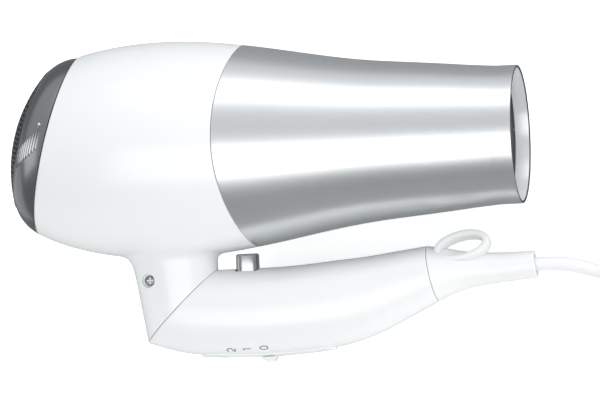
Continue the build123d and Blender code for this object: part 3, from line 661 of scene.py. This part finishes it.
class Limb:
    """Smooth limb through oval rings: at a share along it, an oval between two points."""

    def __init__(self, rings):
        rows = np.array([(*inner, *outer, half) for inner, outer, half in rings])
        way = way_along(spine(rows)[0])
        self.length = float(way[-1])
        self.ring = smooth_through(way / self.length, rows)

    def point(self, share, angle, inset=0.0):
        """Oval at a share, moved in: middle plus the shortened half-axes times cosine and sine."""
        share, angle, inset = np.broadcast_arrays(share, angle, inset)
        ring = self.ring(share)
        middle, across = spine(ring)
        depth = np.linalg.norm(across, axis=-1)
        flat = middle + across * ((depth - inset) / depth * np.cos(angle))[..., None]
        return np.concatenate([flat, ((ring[..., 4] - inset) * np.sin(angle))[..., None]], -1)

    def lifted(self, share, angle, lift):
        """Surface point moved out along the surface's own normal, from small steps each way."""
        small = 0.001
        along = self.point(share + small, angle) - self.point(share - small, angle)
        around = self.point(share, angle + small) - self.point(share, angle - small)
        normal = unit(np.cross(around, along))
        outward = self.point(share, angle, -1.0) - self.point(share, angle)
        normal *= np.sign((normal * outward).sum(-1, keepdims=True))
        return self.point(share, angle) + normal * np.asarray(lift)[..., None]

    def rows(self, start, end, angle, edge, count, groove=0.0):
        """Rows from start to end with rounded rims at both ends."""
        lip = rolled(edge)
        near = start + lip[:, 0] / self.length
        far_off = end - lip[::-1, 0] / self.length
        middle = np.linspace(near[-1], far_off[0], count)[1:-1]
        share = np.concatenate([near, middle, far_off])
        inset = np.concatenate([lip[:, 1], np.zeros(len(middle)), lip[::-1, 1]])
        return self.point(share[:, None], angle[None, :], inset[:, None] + groove)


stalk_limb = Limb(stalk_rings)
handle_limb = Limb(handle_rings)
guard_limb = Limb(guard_rings)
thrust_half = 0.11


def stalk_rows(angle, fillet, edge, rows=34):
    """Rows of the stalk from the mitre to the barrel, ending in a quadratic curve that leaves
    the stalk before their meeting line and lands flat on the barrel beyond it."""
    share = np.linspace(0, 1, 600)
    body = stalk_limb.point(share[:, None], angle[None, :])
    outside = np.hypot(body[..., 1], body[..., 2]) - barrel_radius(body[..., 0])
    index = np.argmax(outside <= 0, axis=0)
    columns = np.arange(len(angle))
    before, after = outside[index - 1, columns], outside[index, columns]
    meet = share[index - 1] + (share[1] - share[0]) * before / (before - after)
    leave = meet - fillet / stalk_limb.length
    lip = rolled(edge)
    start = thrust_half / stalk_limb.length
    near = start + lip[:, :1] / stalk_limb.length + 0 * angle[None, :]
    run = near[-1] + (leave - near[-1])[None, :] * np.linspace(0, 1, rows)[1:, None]
    lower = stalk_limb.point(near, angle[None, :], lip[:, 1:])
    shaft = stalk_limb.point(run, angle[None, :])
    joint = stalk_limb.point(meet, angle)
    small = 0.01
    radius = np.hypot(joint[:, 1], joint[:, 2])
    slope = (barrel_radius(joint[:, 0] + small) - barrel_radius(joint[:, 0] - small)) / (2 * small)
    normal = unit(np.stack([-slope, joint[:, 1] / radius, joint[:, 2] / radius], 1))
    outward = stalk_limb.lifted(meet, angle, 1.0) - joint
    outward = unit(outward - normal * (outward * normal).sum(1, keepdims=True))
    landing = joint + fillet * outward
    reach = barrel_radius(landing[:, 0]) / np.hypot(landing[:, 1], landing[:, 2])
    landing[:, 1:] *= reach[:, None]
    curve = np.linspace(0, 1, 10)[1:, None, None]
    blend = (1 - curve) ** 2 * shaft[-1] + 2 * curve * (1 - curve) * joint + curve ** 2 * landing
    sunk = landing - normal * 1.2
    return np.concatenate([lower, shaft, blend, sunk[None]])


stalk_screw_at = (-14.0, -50.0, 0)
handle_screws_at = ((40.0, -53.5, 0), (76.0, -54.5, 0))


def screw_well(name, spot, direction, radius):
    """Cutter for the open well over a screw's seat."""
    return piece(name, drum(spot, direction, [(6.9, radius), (30.0, radius)]), recess_shade_dark)


stalk_turn = turns(132, (0.0, math.pi), 0.02)
stalk_body = piece("stalk_body", stalk_rows(stalk_turn, fillet=3.6, edge=0.35), white_shell)
cut(stalk_body, [screw_well("stalk_bore", stalk_screw_at, (0, 0, 1), 2.75)])
joined("white_housing", [housing_shell, stalk_body], "barrel", ["housing_left", "housing_right"])

# ---- handle with its openings ----
handle_turn = turns(168, (0.0, math.pi), 0.018)
handle_groove = parting(handle_turn, (0.0, math.pi), parting_depth, 0.018)
handle_rows = handle_limb.rows(thrust_half / handle_limb.length, 1 - 0.05 / handle_limb.length,
                               handle_turn, edge=0.35, count=110, groove=handle_groove[None, :])
handle_shell = piece("white_handle", handle_rows, white_shell)
button_x, button_side, button_top = 23.3, 8.6, -41.3
slot_mid, slot_half, slot_wide = 24.1, 9.8, 1.9
plain_axes = np.eye(3)
handle_cutters = [
    piece("button_well", block((button_x, -47.0, 0), plain_axes, (4.6, 6.0, 4.6), 9.0), recess_shade_dark),
    piece("switch_well", block((slot_mid, -78.0, 0), plain_axes, (9.9, 6.0, 1.95), 20.0),
          recess_shade_dark),
    screw_well("screw_well_front", handle_screws_at[0], (0, 0, -1), 2.65),
    screw_well("screw_well_rear", handle_screws_at[1], (0, 0, -1), 2.65),
]
cut(handle_shell, handle_cutters)
settle(handle_shell, "handle", ["handle_left", "handle_right"])


# ---- switch plate, knob and numbers ----
def bottom_point(x, z, lift):
    """Point on the handle's lower side at a station and a distance across, moved out by lift."""
    line = handle_limb.ring(np.linspace(0, 1, 400))
    share = np.interp(x, line[:, 2], np.linspace(0, 1, 400))
    for _ in range(8):
        half = handle_limb.ring(share)[..., 4]
        angle = math.pi - np.arcsin(z / half)
        share = share + (x - handle_limb.point(share, angle)[..., 0]) / handle_limb.length
    return handle_limb.lifted(share, angle, lift)


def outline(half_long, half_wide, corner, count=260):
    """Rounded rectangle by equal steps of its own length, from the middle of one short side."""
    quarter = np.linspace(0, math.pi / 2, 12)
    signs = np.array([(1, 1), (-1, 1), (-1, -1), (1, -1)])
    centres = signs * (half_long - corner, half_wide - corner)
    arcs = [centres[i] + corner * circle(quarter + i * math.pi / 2) for i in range(4)]
    path = np.vstack([[(half_long, 0.0)], *arcs, [(half_long, 0.0)]])
    way = way_along(path)
    even = np.linspace(0, way[-1], count, endpoint=False)
    return np.stack([np.interp(even, way, path[:, 0]), np.interp(even, way, path[:, 1])], 1)


plate_mid, plate_half, plate_wide = 30.4, 26.1, 5.2
plate_lift, plate_sink, plate_edge = 0.8, -0.9, 0.35


def plate_rows():
    """Plate as loops from its outer rim, over its face, to the slot, and back underneath."""
    corner, slot_corner = 4.0, 0.6
    lip = [(plate_lift - along, inward) for along, inward in rolled(plate_edge, 4)]
    outer_levels = [(plate_sink, 0.0)] + lip[::-1]
    inner_levels = lip + [(plate_sink, 0.0)]

    def plate_loop(inward):
        """The plate's outline, moved in."""
        return outline(plate_half - inward, plate_wide - inward, corner - inward) + (plate_mid, 0)

    def slot_loop(outward, rounding):
        """The slot's outline, moved out."""
        return outline(slot_half + outward, slot_wide + outward, rounding) + (slot_mid, 0)

    outer, inner = plate_loop(plate_edge), slot_loop(plate_edge, 0.9)
    flats = [(lift, plate_loop(inward)) for lift, inward in outer_levels]
    flats += [(plate_lift, outer * (1 - share) + inner * share)
              for share in np.linspace(0, 1, 12)[1:-1]]
    flats += [(lift, slot_loop(inward, slot_corner + inward)) for lift, inward in inner_levels]
    return np.array([bottom_point(*flat.T, np.full(len(flat), lift)) for lift, flat in flats])


piece("switch_strip", plate_rows(), white_shell, "handle", ["switch_plate"],
      wrap_rows=True)

knob_x = 30.6
knob_shapes = (
    ("knob_pad", knob_x, -81.6, (2.7, 0.6, 4.4), 6.0, 28),
    ("knob_tooth", 31.0, -82.5, (1.7, 0.75, 4.0), 4.0, 28),
    ("knob_neck", knob_x, -79.0, (3.0, 3.0, 1.6), 12.0, 28),
    ("knob_rib_0", knob_x - 1.9, -82.2, (0.35, 0.3, 3.6), 3.0, 16),
    ("knob_rib_1", knob_x + 2.3, -82.2, (0.35, 0.3, 3.6), 3.0, 16),
)
knob_parts = [piece(name, block((x, y, 0), plain_axes, half, power, count), white_shell)
              for name, x, y, half, power, count in knob_shapes]
joined("slide_knob_cap", knob_parts, "slider", ["slide_knob"])


def stroke(path, width, share, angle, lift=0.035, sink=-0.08):
    """Printed stroke: a flat band along a path, laid on the handle about a point by its slopes."""
    path = np.asarray(path, float)
    direction = unit(np.gradient(path, axis=0))
    side = np.stack([-direction[:, 1], direction[:, 0]], 1) * width / 2
    spot, small = handle_limb.point, 0.001
    along = spot(share + small, angle) - spot(share - small, angle)
    around = spot(share, angle + small) - spot(share, angle - small)
    per_share, per_angle = np.linalg.norm(along) / (2 * small), np.linalg.norm(around) / (2 * small)
    corners = [(path + side, lift), (path - side, lift), (path - side, sink), (path + side, sink)]
    rows = [handle_limb.lifted(share - flat[:, 1] / per_share, angle - flat[:, 0] / per_angle,
                               np.full(len(flat), level))
            for flat, level in corners]
    return np.stack(rows, 1)


def flank_spot(x, y):
    """Share and angle of the point of the handle's near flank at a station and height."""
    share = (x + 3.0) / handle_limb.length
    angle = 2.2
    for _ in range(12):
        ring = handle_limb.ring(share)
        middle, across = spine(ring)
        angle = math.acos(max(-1.0, min(1.0, (y - middle[1]) / across[1])))
        share += (x - handle_limb.point(share, angle)[0]) / handle_limb.length
    return float(share), angle


def number_marks():
    """Three printed numbers beside the slide switch, each a few strokes."""
    tall, wide, weight = 3.1, 2.1, 0.42
    ring = np.linspace(0, 2 * math.pi, 41)
    bow = np.linspace(math.radians(165), math.radians(-48), 24)
    top_r = wide / 2
    zero = [circle(ring) * (wide / 2, tall / 2)]
    one = [np.array([(0.1, -tall / 2), (0.1, 0.0), (0.1, tall / 2)]),
           np.array([(0.1, tall / 2), (-0.3, tall / 2 - 0.35), (-0.62, tall / 2 - 0.6)])]
    arch = top_r * circle(bow) + (0.0, tall / 2 - top_r)
    two = [np.vstack([arch, [(-0.2, -0.7), (-wide / 2, -tall / 2)]]),
           np.array([(-wide / 2 - 0.1, -tall / 2), (0.0, -tall / 2), (wide / 2, -tall / 2)])]
    parts = []
    for name, strokes, (x, y) in (("zero", zero, (29.6, -77.6)), ("one", one, (22.9, -77.8)),
                                  ("two", two, (16.6, -78.0))):
        share, angle = flank_spot(x, y)
        for i, path in enumerate(strokes):
            parts.append(piece(f"{name}_{i}", stroke(path, weight, share, angle), print_grey))
    joined("switch_numbers", parts, "handle")


number_marks()

# ---- cool air button ----
def button_rows():
    """Button: a bowed square, the unit circle divided by its own power norm, up to a rolled top."""
    bow = 3.4
    around = circle(full_turn(128))
    around = around / (np.abs(around) ** bow).sum(1, keepdims=True) ** (1 / bow)
    top = [(button_top - along, inward) for along, inward in rolled(0.8, 7)[::-1]]
    rows = []
    for height, inward in [(-53.0, 0.0), (-50.0, 0.0), (-46.0, 0.0)] + top + [(button_top, 2.6)]:
        flat = (button_side / 2 - inward) * around
        rows.append(np.stack([button_x + flat[:, 0], np.full(len(flat), height), flat[:, 1]], 1))
    return np.array(rows)


piece("cool_button_cap", button_rows(), button_grey, "cool_shot", ["cool_button"])


# ---- screws ----
def screw_head(name, origin, direction):
    """Pan head with a crossed recess: a turned cap whose middle is pressed in by two slots."""
    profile = [(5.2, 2.2), (6.6, 2.3), (6.85, 2.15), (7.0, 1.85), (7.05, 1.2), (7.05, 0.4)]
    head = piece(name, drum(origin, direction, profile, 40), screw_steel, sharp=50.0)
    direction = np.asarray(direction, float)
    middle = np.asarray(origin, float) + direction * 7.2
    axes = np.array([(1, 0, 0), (0, 1, 0), direction])
    slots = [piece(name + "_a", block(middle, axes, (1.35, 0.3, 0.8), 10.0, 14), screw_steel),
             piece(name + "_b", block(middle, axes, (0.3, 1.35, 0.8), 10.0, 14), screw_steel)]
    return cut(head, slots, 50.0)


settle(screw_head("stalk_screw_head", stalk_screw_at, (0, 0, 1)), "barrel", ["stalk_screw"])
head_places = zip(("screw_one", "screw_two"), handle_screws_at)
handle_heads = [screw_head(*head_place, (0, 0, -1)) for head_place in head_places]
joined("handle_screw_heads", handle_heads, "handle", ["handle_screws"])

# ------------------------------------------------------------------ cord guard
loop_tilt, loop_lean = math.radians(12.5), math.radians(24.0)
loop_mid = np.array([107.6, -42.4, 3.2])
loop_along = np.array([math.cos(loop_tilt), math.sin(loop_tilt), 0.0])
loop_up = np.array([-math.sin(loop_tilt) * math.cos(loop_lean),
                    math.cos(loop_tilt) * math.cos(loop_lean),
                    -math.sin(loop_lean)])
loop_normal = np.cross(loop_along, loop_up)


def guard_rows():
    """Guard from the handle's end to its mouth, then the mouth's rim and its bore."""
    angle = full_turn(96)
    body = guard_limb.rows(0.12 / guard_limb.length, 1.0, angle, edge=0.3, count=60)
    middle, across = (np.append(part, 0.0) for part in spine(guard_limb.ring(np.array(1.0))))
    across = unit(across)
    inward = np.cross(across, (0.0, 0.0, 1.0))
    inward *= -np.sign(inward[0])
    ring = circle(angle) @ np.array([across, (0.0, 0.0, 1.0)])
    bore = [middle + inward * depth + ring * radius
            for depth, radius in ((0.0, 4.1), (0.06, 3.86), (0.25, 3.72), (0.5, 3.7), (2.2, 3.7),
                                  (3.9, 3.7), (4.0, 3.0))]
    return np.concatenate([body, np.array(bore)])


def loop_rows():
    """Hang loop: a rounded section carried round an oval, thin across and tall along its axis."""
    way, section = full_turn(120)[:, None], full_turn(40)
    squarer, half_tall = 0.62, 3.0
    thin, tall = (np.sign(wave) * np.abs(wave) ** squarer
                  for wave in (np.cos(section), np.sin(section)))
    long_r, short_r = 9.7 + 1.5 * thin, 4.8 + 1.4 * thin
    shares = np.stack([long_r * np.cos(way), short_r * np.sin(way), half_tall * tall + 0 * way], -1)
    return loop_mid + shares @ np.array([loop_along, loop_up, loop_normal])


guard_parts = [piece("guard_body", guard_rows(), soft_white),
               piece("hang_loop", loop_rows(), soft_white, wrap_rows=True)]
joined("cord_guard_skin", guard_parts, "handle", ["cord_guard"])


# ------------------------------------------------------------------ inlet
dome_top, dome_ball_r = 17.7, 58.0


def dome_height(radius):
    """Height of the inlet dome above the trim plane at a distance from its axis: part of a ball."""
    return dome_top - dome_ball_r + np.sqrt(dome_ball_r ** 2 - np.asarray(radius) ** 2)


def trim_point(height, radius, angle):
    """Point about the tilted inlet axis; the angle runs from +Z up."""
    upward = np.array([math.sin(trim_tilt), math.cos(trim_tilt), 0.0])
    height, radius, angle = np.broadcast_arrays(height, radius, angle)
    ring = circle(angle) @ np.array([(0.0, 0.0, 1.0), upward])
    return trim_spot + height[..., None] * trim_dir + radius[..., None] * ring


def arc_through(first, middle, last, share):
    """Points and outward directions of the circular arc through three (height, radius) points."""
    first, middle, last = (np.array(spot, float) for spot in (first, middle, last))
    rows = 2 * np.array([middle - first, last - first])
    centre = np.linalg.solve(rows, [middle @ middle - first @ first, last @ last - first @ first])
    reach = np.linalg.norm(first - centre)
    begin, end = (math.atan2(*(spot - centre)[::-1]) for spot in (first, last))
    outward = circle(begin + (end - begin) * share)
    return centre + reach * outward, outward


def trim_rows():
    """Bezel: a bulging profile turned about the inlet axis. Finger ribs, short and side by side
    in a slanting row, are raised on two sides as bells across their width."""
    rib_part = np.linspace(-27.0, 17.0, 150)
    upper_part, lower_part = np.linspace(18.0, 162.0, 90), np.linspace(208.0, 332.0, 80)
    angle = np.concatenate([rib_part, 180.0 - rib_part, upper_part, lower_part])
    angle = np.radians(np.sort(angle))
    share = np.linspace(0, 1, 170)
    spots, outward = arc_through((0.3, 35.1), (6.4, 32.2), (10.9, 27.0), share)
    arc_length = 15.9
    rib_count, first_share, share_step = 9, 0.20, 0.082
    first_turn, turn_step, half_turn = 5.5, 2.4, 8.0
    rib_height, rib_width, end_fall = 0.46, 0.34, 2.2
    side_turn = np.degrees(np.arcsin(np.sin(angle)))
    bump = np.zeros((len(share), len(angle)))
    for step in range(rib_count):
        level = (first_share + share_step * step - share) * arc_length
        away = np.abs(side_turn - (first_turn - turn_step * step)) - half_turn
        crest, fade = np.exp(-((level / rib_width) ** 2)), 1 + np.exp(away * end_fall)
        bump += rib_height * crest[:, None] / fade[None, :]
    outer = trim_point(spots[:, :1] + bump * outward[:, :1], spots[:, 1:] + bump * outward[:, 1:],
                       angle[None, :])
    at_edge, at_tuck = (float(dome_height(radius)) for radius in (26.8, 27.8))
    inner = np.array([
        (11.05, 26.85), (11.1, 26.6), (10.95, 26.4), (at_edge + 0.08, 26.45),
        (at_tuck + 0.12, 27.7), (3.0, 30.6), (-5.0, 30.6), (-5.0, 32.1), (0.2, 32.1), (0.2, 34.8)])
    inside = trim_point(inner[:, :1], inner[:, 1:], angle[None, :])
    return np.concatenate([outer, inside])


piece("inlet_bezel", trim_rows(), ring_grey, "inlet_cap", ["trim_ring"],
      wrap_rows=True, sharp=55.0)


def mark_rows(radius, low, high):
    """Small round mark on the bezel's flank, beside its ribs."""
    spot_h, spot_r, spot_turn = 3.6, 33.75, math.radians(13.6)
    middle = trim_point(spot_h, spot_r, spot_turn)
    normal = trim_point(spot_h, spot_r + 1.0, spot_turn) - middle
    slope = trim_point(spot_h + 1.0, spot_r, spot_turn) - middle
    normal = normal * 0.85 + slope * 0.53
    profile = [(low, radius), (high - 0.12, radius), (high - 0.03, radius - 0.08),
               (high, radius - 0.25)]
    return drum(middle, normal, profile, 32)


# The dark ring round the mark is painted shade of a recess.
piece("bezel_mark_ring", mark_rows(0.95, -0.7, 0.12), recess_shade_dark, "inlet_cap")
piece("bezel_mark", mark_rows(0.55, -0.7, 0.28), dot_white, "inlet_cap")


def mesh_dome():
    """Punched dome: hexagons of a flat net, each with a round hole in its middle, wrapped on a
    ball by their distance from the axis; cells at the rim are closed and end on its circle."""
    pitch, hole_r, rim, closed_rim = 2.15, 0.74, 27.4, 1.3
    reach = int(rim / pitch) + 3
    column, line = np.meshgrid(np.arange(-reach, reach + 1), np.arange(-reach, reach + 1))
    net = np.stack([(column + 0.5 * line) * pitch, line * pitch * math.sqrt(3) / 2], -1)
    centre = net.reshape(-1, 2)
    far_off = np.linalg.norm(centre, axis=1)
    near = far_off < rim + 0.45 * pitch
    centre, far_off = centre[near], far_off[near]
    corner_turn = np.radians(np.arange(12) * 30.0 + 30.0)
    corner_r = np.where(np.arange(12) % 2 == 0, pitch / math.sqrt(3), pitch / 2)
    edge = centre[:, None] + corner_r[:, None] * circle(corner_turn)
    hole = centre[:, None] + hole_r * circle(corner_turn)
    away = np.linalg.norm(edge, axis=2, keepdims=True)
    edge = edge * np.minimum(1.0, rim / np.maximum(away, 1e-9))
    open_cell = far_off < rim - closed_rim
    opened, closed = np.flatnonzero(open_cell), np.flatnonzero(~open_cell)
    points = np.concatenate([edge.reshape(-1, 2), hole[opened].reshape(-1, 2)])
    ids = np.arange(12)
    outer = opened[:, None] * 12 + ids
    inner = len(edge) * 12 + np.arange(len(opened))[:, None] * 12 + ids
    faces = quads_between(outer, inner) + (closed[:, None] * 12 + ids).tolist()
    radius = np.linalg.norm(points, axis=1)
    turn = np.arctan2(points[:, 1], points[:, 0])
    dome = solid("punched_dome", trim_point(dome_height(radius), radius, turn), faces, mesh_black,
                 sharp=30.0)
    wall = dome.modifiers.new("wall", "SOLIDIFY")
    wall.thickness = 0.0008
    wall.offset = -1.0
    settle(dome, "inlet_cap", ["inlet_dome"])


mesh_dome()


# ---- outlet ----
def outlet_piece(name, profile, count, finish, wrap_rows):
    """Turned piece about the barrel's axis."""
    piece(name, drum((0, 0, 0), (1, 0, 0), profile, count), finish, "barrel", wrap_rows=wrap_rows)


# A dark sleeve inside the barrel: painted shade for the deep inside of the outlet.
outlet_piece("outlet_shade_sleeve", [(109.0, 24.2), (109.0, 25.9), (125.4, 24.9), (126.0, 24.8),
                               (126.0, 24.5), (125.2, 24.3)], 120, outlet_shade_charcoal, False)
# The throat's pale silver is painted light on the outlet's inner wall.
outlet_piece("outlet_throat", [(124.0, 24.9), (124.0, 25.65), (131.2, 25.65), (131.2, 25.5),
                               (130.6, 25.4), (126.0, 25.0)], 160, lit_throat_silver, True)
# The dark rim is painted shade along the outlet's lip.
outlet_piece("outlet_rim", [(131.0, 25.6), (131.0, 26.2), (131.6, 26.3), (131.66, 26.1),
                            (131.6, 25.7)], 160, recess_shade_dark, True)

# ------------------------------------------------------------------ plug, tie and inner parts
def section_rows(origin, direction, side, up, sections):
    """Rows through rounded rectangles: at each height, half sizes and corner radius."""
    direction, side, up = (np.asarray(vector, float) for vector in (direction, side, up))
    rows = []
    for height, half_a, half_b, corner in sections:
        flat = outline(half_a, half_b, corner, 96)
        rows.append(np.asarray(origin) + height * direction + flat[:, :1] * side + flat[:, 1:] * up)
    return np.array(rows)


plug_start = unplace(lead_out[-1])
plug_side, plug_dir, plug_up = row_axes = drawing_axes.T


def plug_rows():
    """Plug body: from a narrow waist at the relief, out to its grip and on to its face."""
    widest, deepest = 18.0, 9.0
    sections = np.array([
        (17.0, 8.5, 5.6, 5.4), (17.3, 9.6, 6.3, 6.0), (18.2, 10.6, 7.0, 6.4),
        (22.0, 12.4, 7.5, 6.8), (27.0, 15.4, 8.3, 7.4), (31.5, 17.4, 8.9, 7.9),
        (34.5, widest, deepest, 8.0), (44.3, widest, deepest, 8.0), (44.8, 17.8, 8.8, 7.8),
        (45.0, 17.3, 8.4, 7.4)])
    heights = sections[:, 0]
    fine = np.unique(np.concatenate([np.linspace(18.2, 44.3, 34), heights]))
    halves = smooth_through(heights, sections[:, 1:])(fine)
    rows = [(h, min(a, widest), min(b, deepest), c) for h, (a, b, c) in zip(fine, halves.tolist())]
    return section_rows(plug_start, plug_dir, plug_side, plug_up, rows)


def relief_rows():
    """Strain relief: a cone with open ring grooves that let it bend."""
    length, thin_r, thick_r = 18.0, 3.95, 6.95
    groove_depth, groove_pitch = 0.75, 3.2
    height = np.linspace(0.0, length, 109)
    taper = thin_r + (thick_r - thin_r) * height / length
    wave = np.clip(np.sin(2 * math.pi * (height - 1.0) / groove_pitch) * 2.2 - 0.4, 0, 1)
    radius = taper - groove_depth * wave * (height > 1.2) * (height < 16.6)
    profile = [(0.0, 2.8), (0.0, 3.5), *zip((height + 0.25).clip(0.25, length), radius)]
    return drum(plug_start, plug_dir, profile, 56)


plug_parts = [piece("plug_grip", plug_rows(), lead_white),
              piece("plug_relief", relief_rows(), lead_white)]
first_rib = 24.0
for i, height in enumerate((first_rib, 27.0, 30.0, 33.0)):
    half = 13.4 + (height - first_rib) * 0.42
    for sign in (1, -1):
        up = 7.45 + 0.10 * (height - first_rib)
        spot = plug_start + height * plug_dir + sign * up * plug_up
        rib = block(spot, [plug_dir, plug_side, plug_up], (0.55, half * 0.55, 0.5), 3.0, 14)
        plug_parts.append(piece(f"plug_rib_{i}_{sign}", rib, lead_white))
joined("plug_moulding", plug_parts, "handle", ["plug_body"])

pin_profile = [(44.0, 2.4), (46.0, 2.4), (52.0, 2.4), (61.6, 2.4), (62.4, 2.3), (63.1, 2.0),
               (63.6, 1.55), (63.9, 0.95), (64.0, 0.4)]
pin_half_gap = 9.5
pins = []
for i, side in enumerate((-1, 1)):
    foot = plug_start + side * pin_half_gap * plug_side
    pins.append(piece(f"pin_{i}", drum(foot, plug_dir, pin_profile, 40), brass))
joined("plug_contacts", pins, "handle", ["plug_pins"])


def tie_rows():
    """Tie: a flat strap wound round the bundle of turns, one loop of a rounded square."""
    middle = unplace((*coil_mid, 0.0))
    half, inner_half, width = 9.25, 8.65, 10.0
    bundle_r, bundle_up = 31.0, 9.3
    loop = outline(half, half, 3.6, 120)
    outward = circle(math.radians(60.0) + np.linspace(0, width / bundle_r, 14)) @ row_axes[:2]

    def strap_side(flat):
        """One side of the strap, swept along its width."""
        flat = flat + (bundle_r, bundle_up)
        return middle + flat[:, :1] * outward[:, None] + flat[:, 1:] * row_axes[2]

    return np.concatenate([strap_side(loop), strap_side(loop * (inner_half / half))[::-1]])


piece("cord_strap", tie_rows(), tie_black, "handle", ["cord_tie"], wrap_rows=True)

nodes_by_finish = (
    (carrier_black, ["inlet_carrier"]), (duct_black, ["motor_mount"]), (motor_steel, ["motor_can"]),
    (bronze, ["motor_bushes"]), (fan_black, ["impeller"]), (heater_wire, ["heater_coils"]),
    (outlet_shade_charcoal, ["outlet_grille"]), (part_amber, ["capacitor"]), (white_shell, ["button_seat"]),
    (sleeve_grey, ["wire_bundle"]), (lead_white, ["lead_tail"]),
    (board_green, ["rectifier_board", "switch_board"]),
    (mica_board, ["air_guide", "mica_tube", "mica_cross"]),
    (part_black, ["motor_cap", "switch_module", "cool_microswitch", "cord_clamp"]),
    (steel, ["motor_shaft", "thermostat", "thermal_fuse", "button_spring", "swivel_journal",
             "swivel_washer", "swivel_retainer", "detent_ball", "detent_spring", "stop_pin"]),
)
for finish, node_names in nodes_by_finish:
    for node_name in node_names:
        slots = frame["nodes"][node_name].data.materials
        slots.clear()
        slots.append(finish)

# ------------------------------------------------------------------ floor and light
def sheet(name, corners, height, finish):
    """Flat four-cornered object at a height over the row frame's ground."""
    mesh = bpy.data.meshes.new(name)
    mesh.from_pydata([(*corner[:2], height) for corner in corners], [], [(0, 1, 2, 3)])
    mesh.materials.append(finish.material)
    return linked(name, mesh)


wide_corners = [(-4, -4), (4, -4), (4, 4), (-4, 4)]
floor_finish = Finish("pale_floor", (0.93, 0.93, 0.93), 0.75, Emission_Color=(1, 1, 1, 1),
                      Emission_Strength=0.5)
floor_finish.feed("Roughness", 0.7 + floor_finish.noise(60.0, 3.0) * 0.1)
floor = sheet("floor", wide_corners, 0.0, floor_finish)

world = bpy.data.worlds.new("studio")
bpy.context.scene.world = world
world.use_nodes = True
sky = world.node_tree
background = sky.nodes["Background"]
direction_node = sky.nodes.new("ShaderNodeTexCoord")
lean_node = sky.nodes.new("ShaderNodeVectorMath")  # brighter towards the top of the view
lean_node.operation = "DOT_PRODUCT"
lean_node.inputs[1].default_value = view_axes[1].tolist()
sky_ramp = sky.nodes.new("ShaderNodeMapRange")
for key, value in (("From Min", -0.9), ("From Max", 0.7), ("To Min", 0.17), ("To Max", 0.70)):
    sky_ramp.inputs[key].default_value = value
sky.links.new(direction_node.outputs["Generated"], lean_node.inputs[0])
sky.links.new(lean_node.outputs["Value"], sky_ramp.inputs["Value"])
sky.links.new(sky_ramp.outputs["Result"], background.inputs["Strength"])
background.inputs["Color"].default_value = (0.95, 0.97, 1.0, 1.0)


def softbox(name, toward, reach, width, height, watts, glossy=True):
    """Soft area light: toward gives its place as view-right, view-up and view-back shares."""
    direction = unit(toward @ view_axes)
    light = bpy.data.lights.new(name, "AREA")
    light.shape = "RECTANGLE"
    light.size = width
    light.size_y = height
    light.energy = watts
    lamp = linked(name, light)
    side = unit(view_axes[0] - direction * (view_axes[0] @ direction))
    aim(lamp, view_target + reach * direction,
        np.array([side, np.cross(direction, side), direction]))
    lamp.visible_glossy = glossy


softbox("front_box", (-0.07, -0.30, 1.0), reach=1.3, width=1.5, height=0.86, watts=9.0)
softbox("right_box", (1.0, 0.15, 0.45), reach=1.0, width=0.5, height=0.5, watts=2.4, glossy=False)
softbox("left_box", (-1.0, 0.02, 0.16), reach=1.0, width=0.6, height=0.55, watts=0.8)
softbox("top_box", (0.1, 0.91, 0.41), reach=1.2, width=1.5, height=0.62, watts=4.3)
softbox("fill_box", (0.05, 0.75, 1.0), reach=2.0, width=1.6, height=1.6, watts=5.5, glossy=False)


def sheen_card(name, corners, height, colour, strength):
    """Glowing card just over the floor that only glossy surfaces see."""
    finish = Finish(name, (0.0, 0.0, 0.0), 1.0, Emission_Color=(*colour, 1),
                    Emission_Strength=strength)
    card = sheet(name, corners, height, finish)
    for ray in ("camera", "diffuse", "transmission", "shadow", "volume_scatter"):
        setattr(card, "visible_" + ray, False)


def on_floor(right, up):
    """Point to the right and up from the middle of the view, for cards near the floor."""
    return (view_target + right * view_axes[0] + up * view_axes[1]).tolist()


left_corners = [on_floor(-0.60, -0.05), on_floor(-0.16, -0.05), on_floor(-0.16, 0.11),
                on_floor(-0.60, 0.11)]
sheen_card("floor_sheen", wide_corners, height=0.0001, colour=(0.93, 0.97, 1.0), strength=0.24)
sheen_card("left_sheen", left_corners, height=0.0004, colour=(0.95, 0.98, 1.0), strength=0.6)
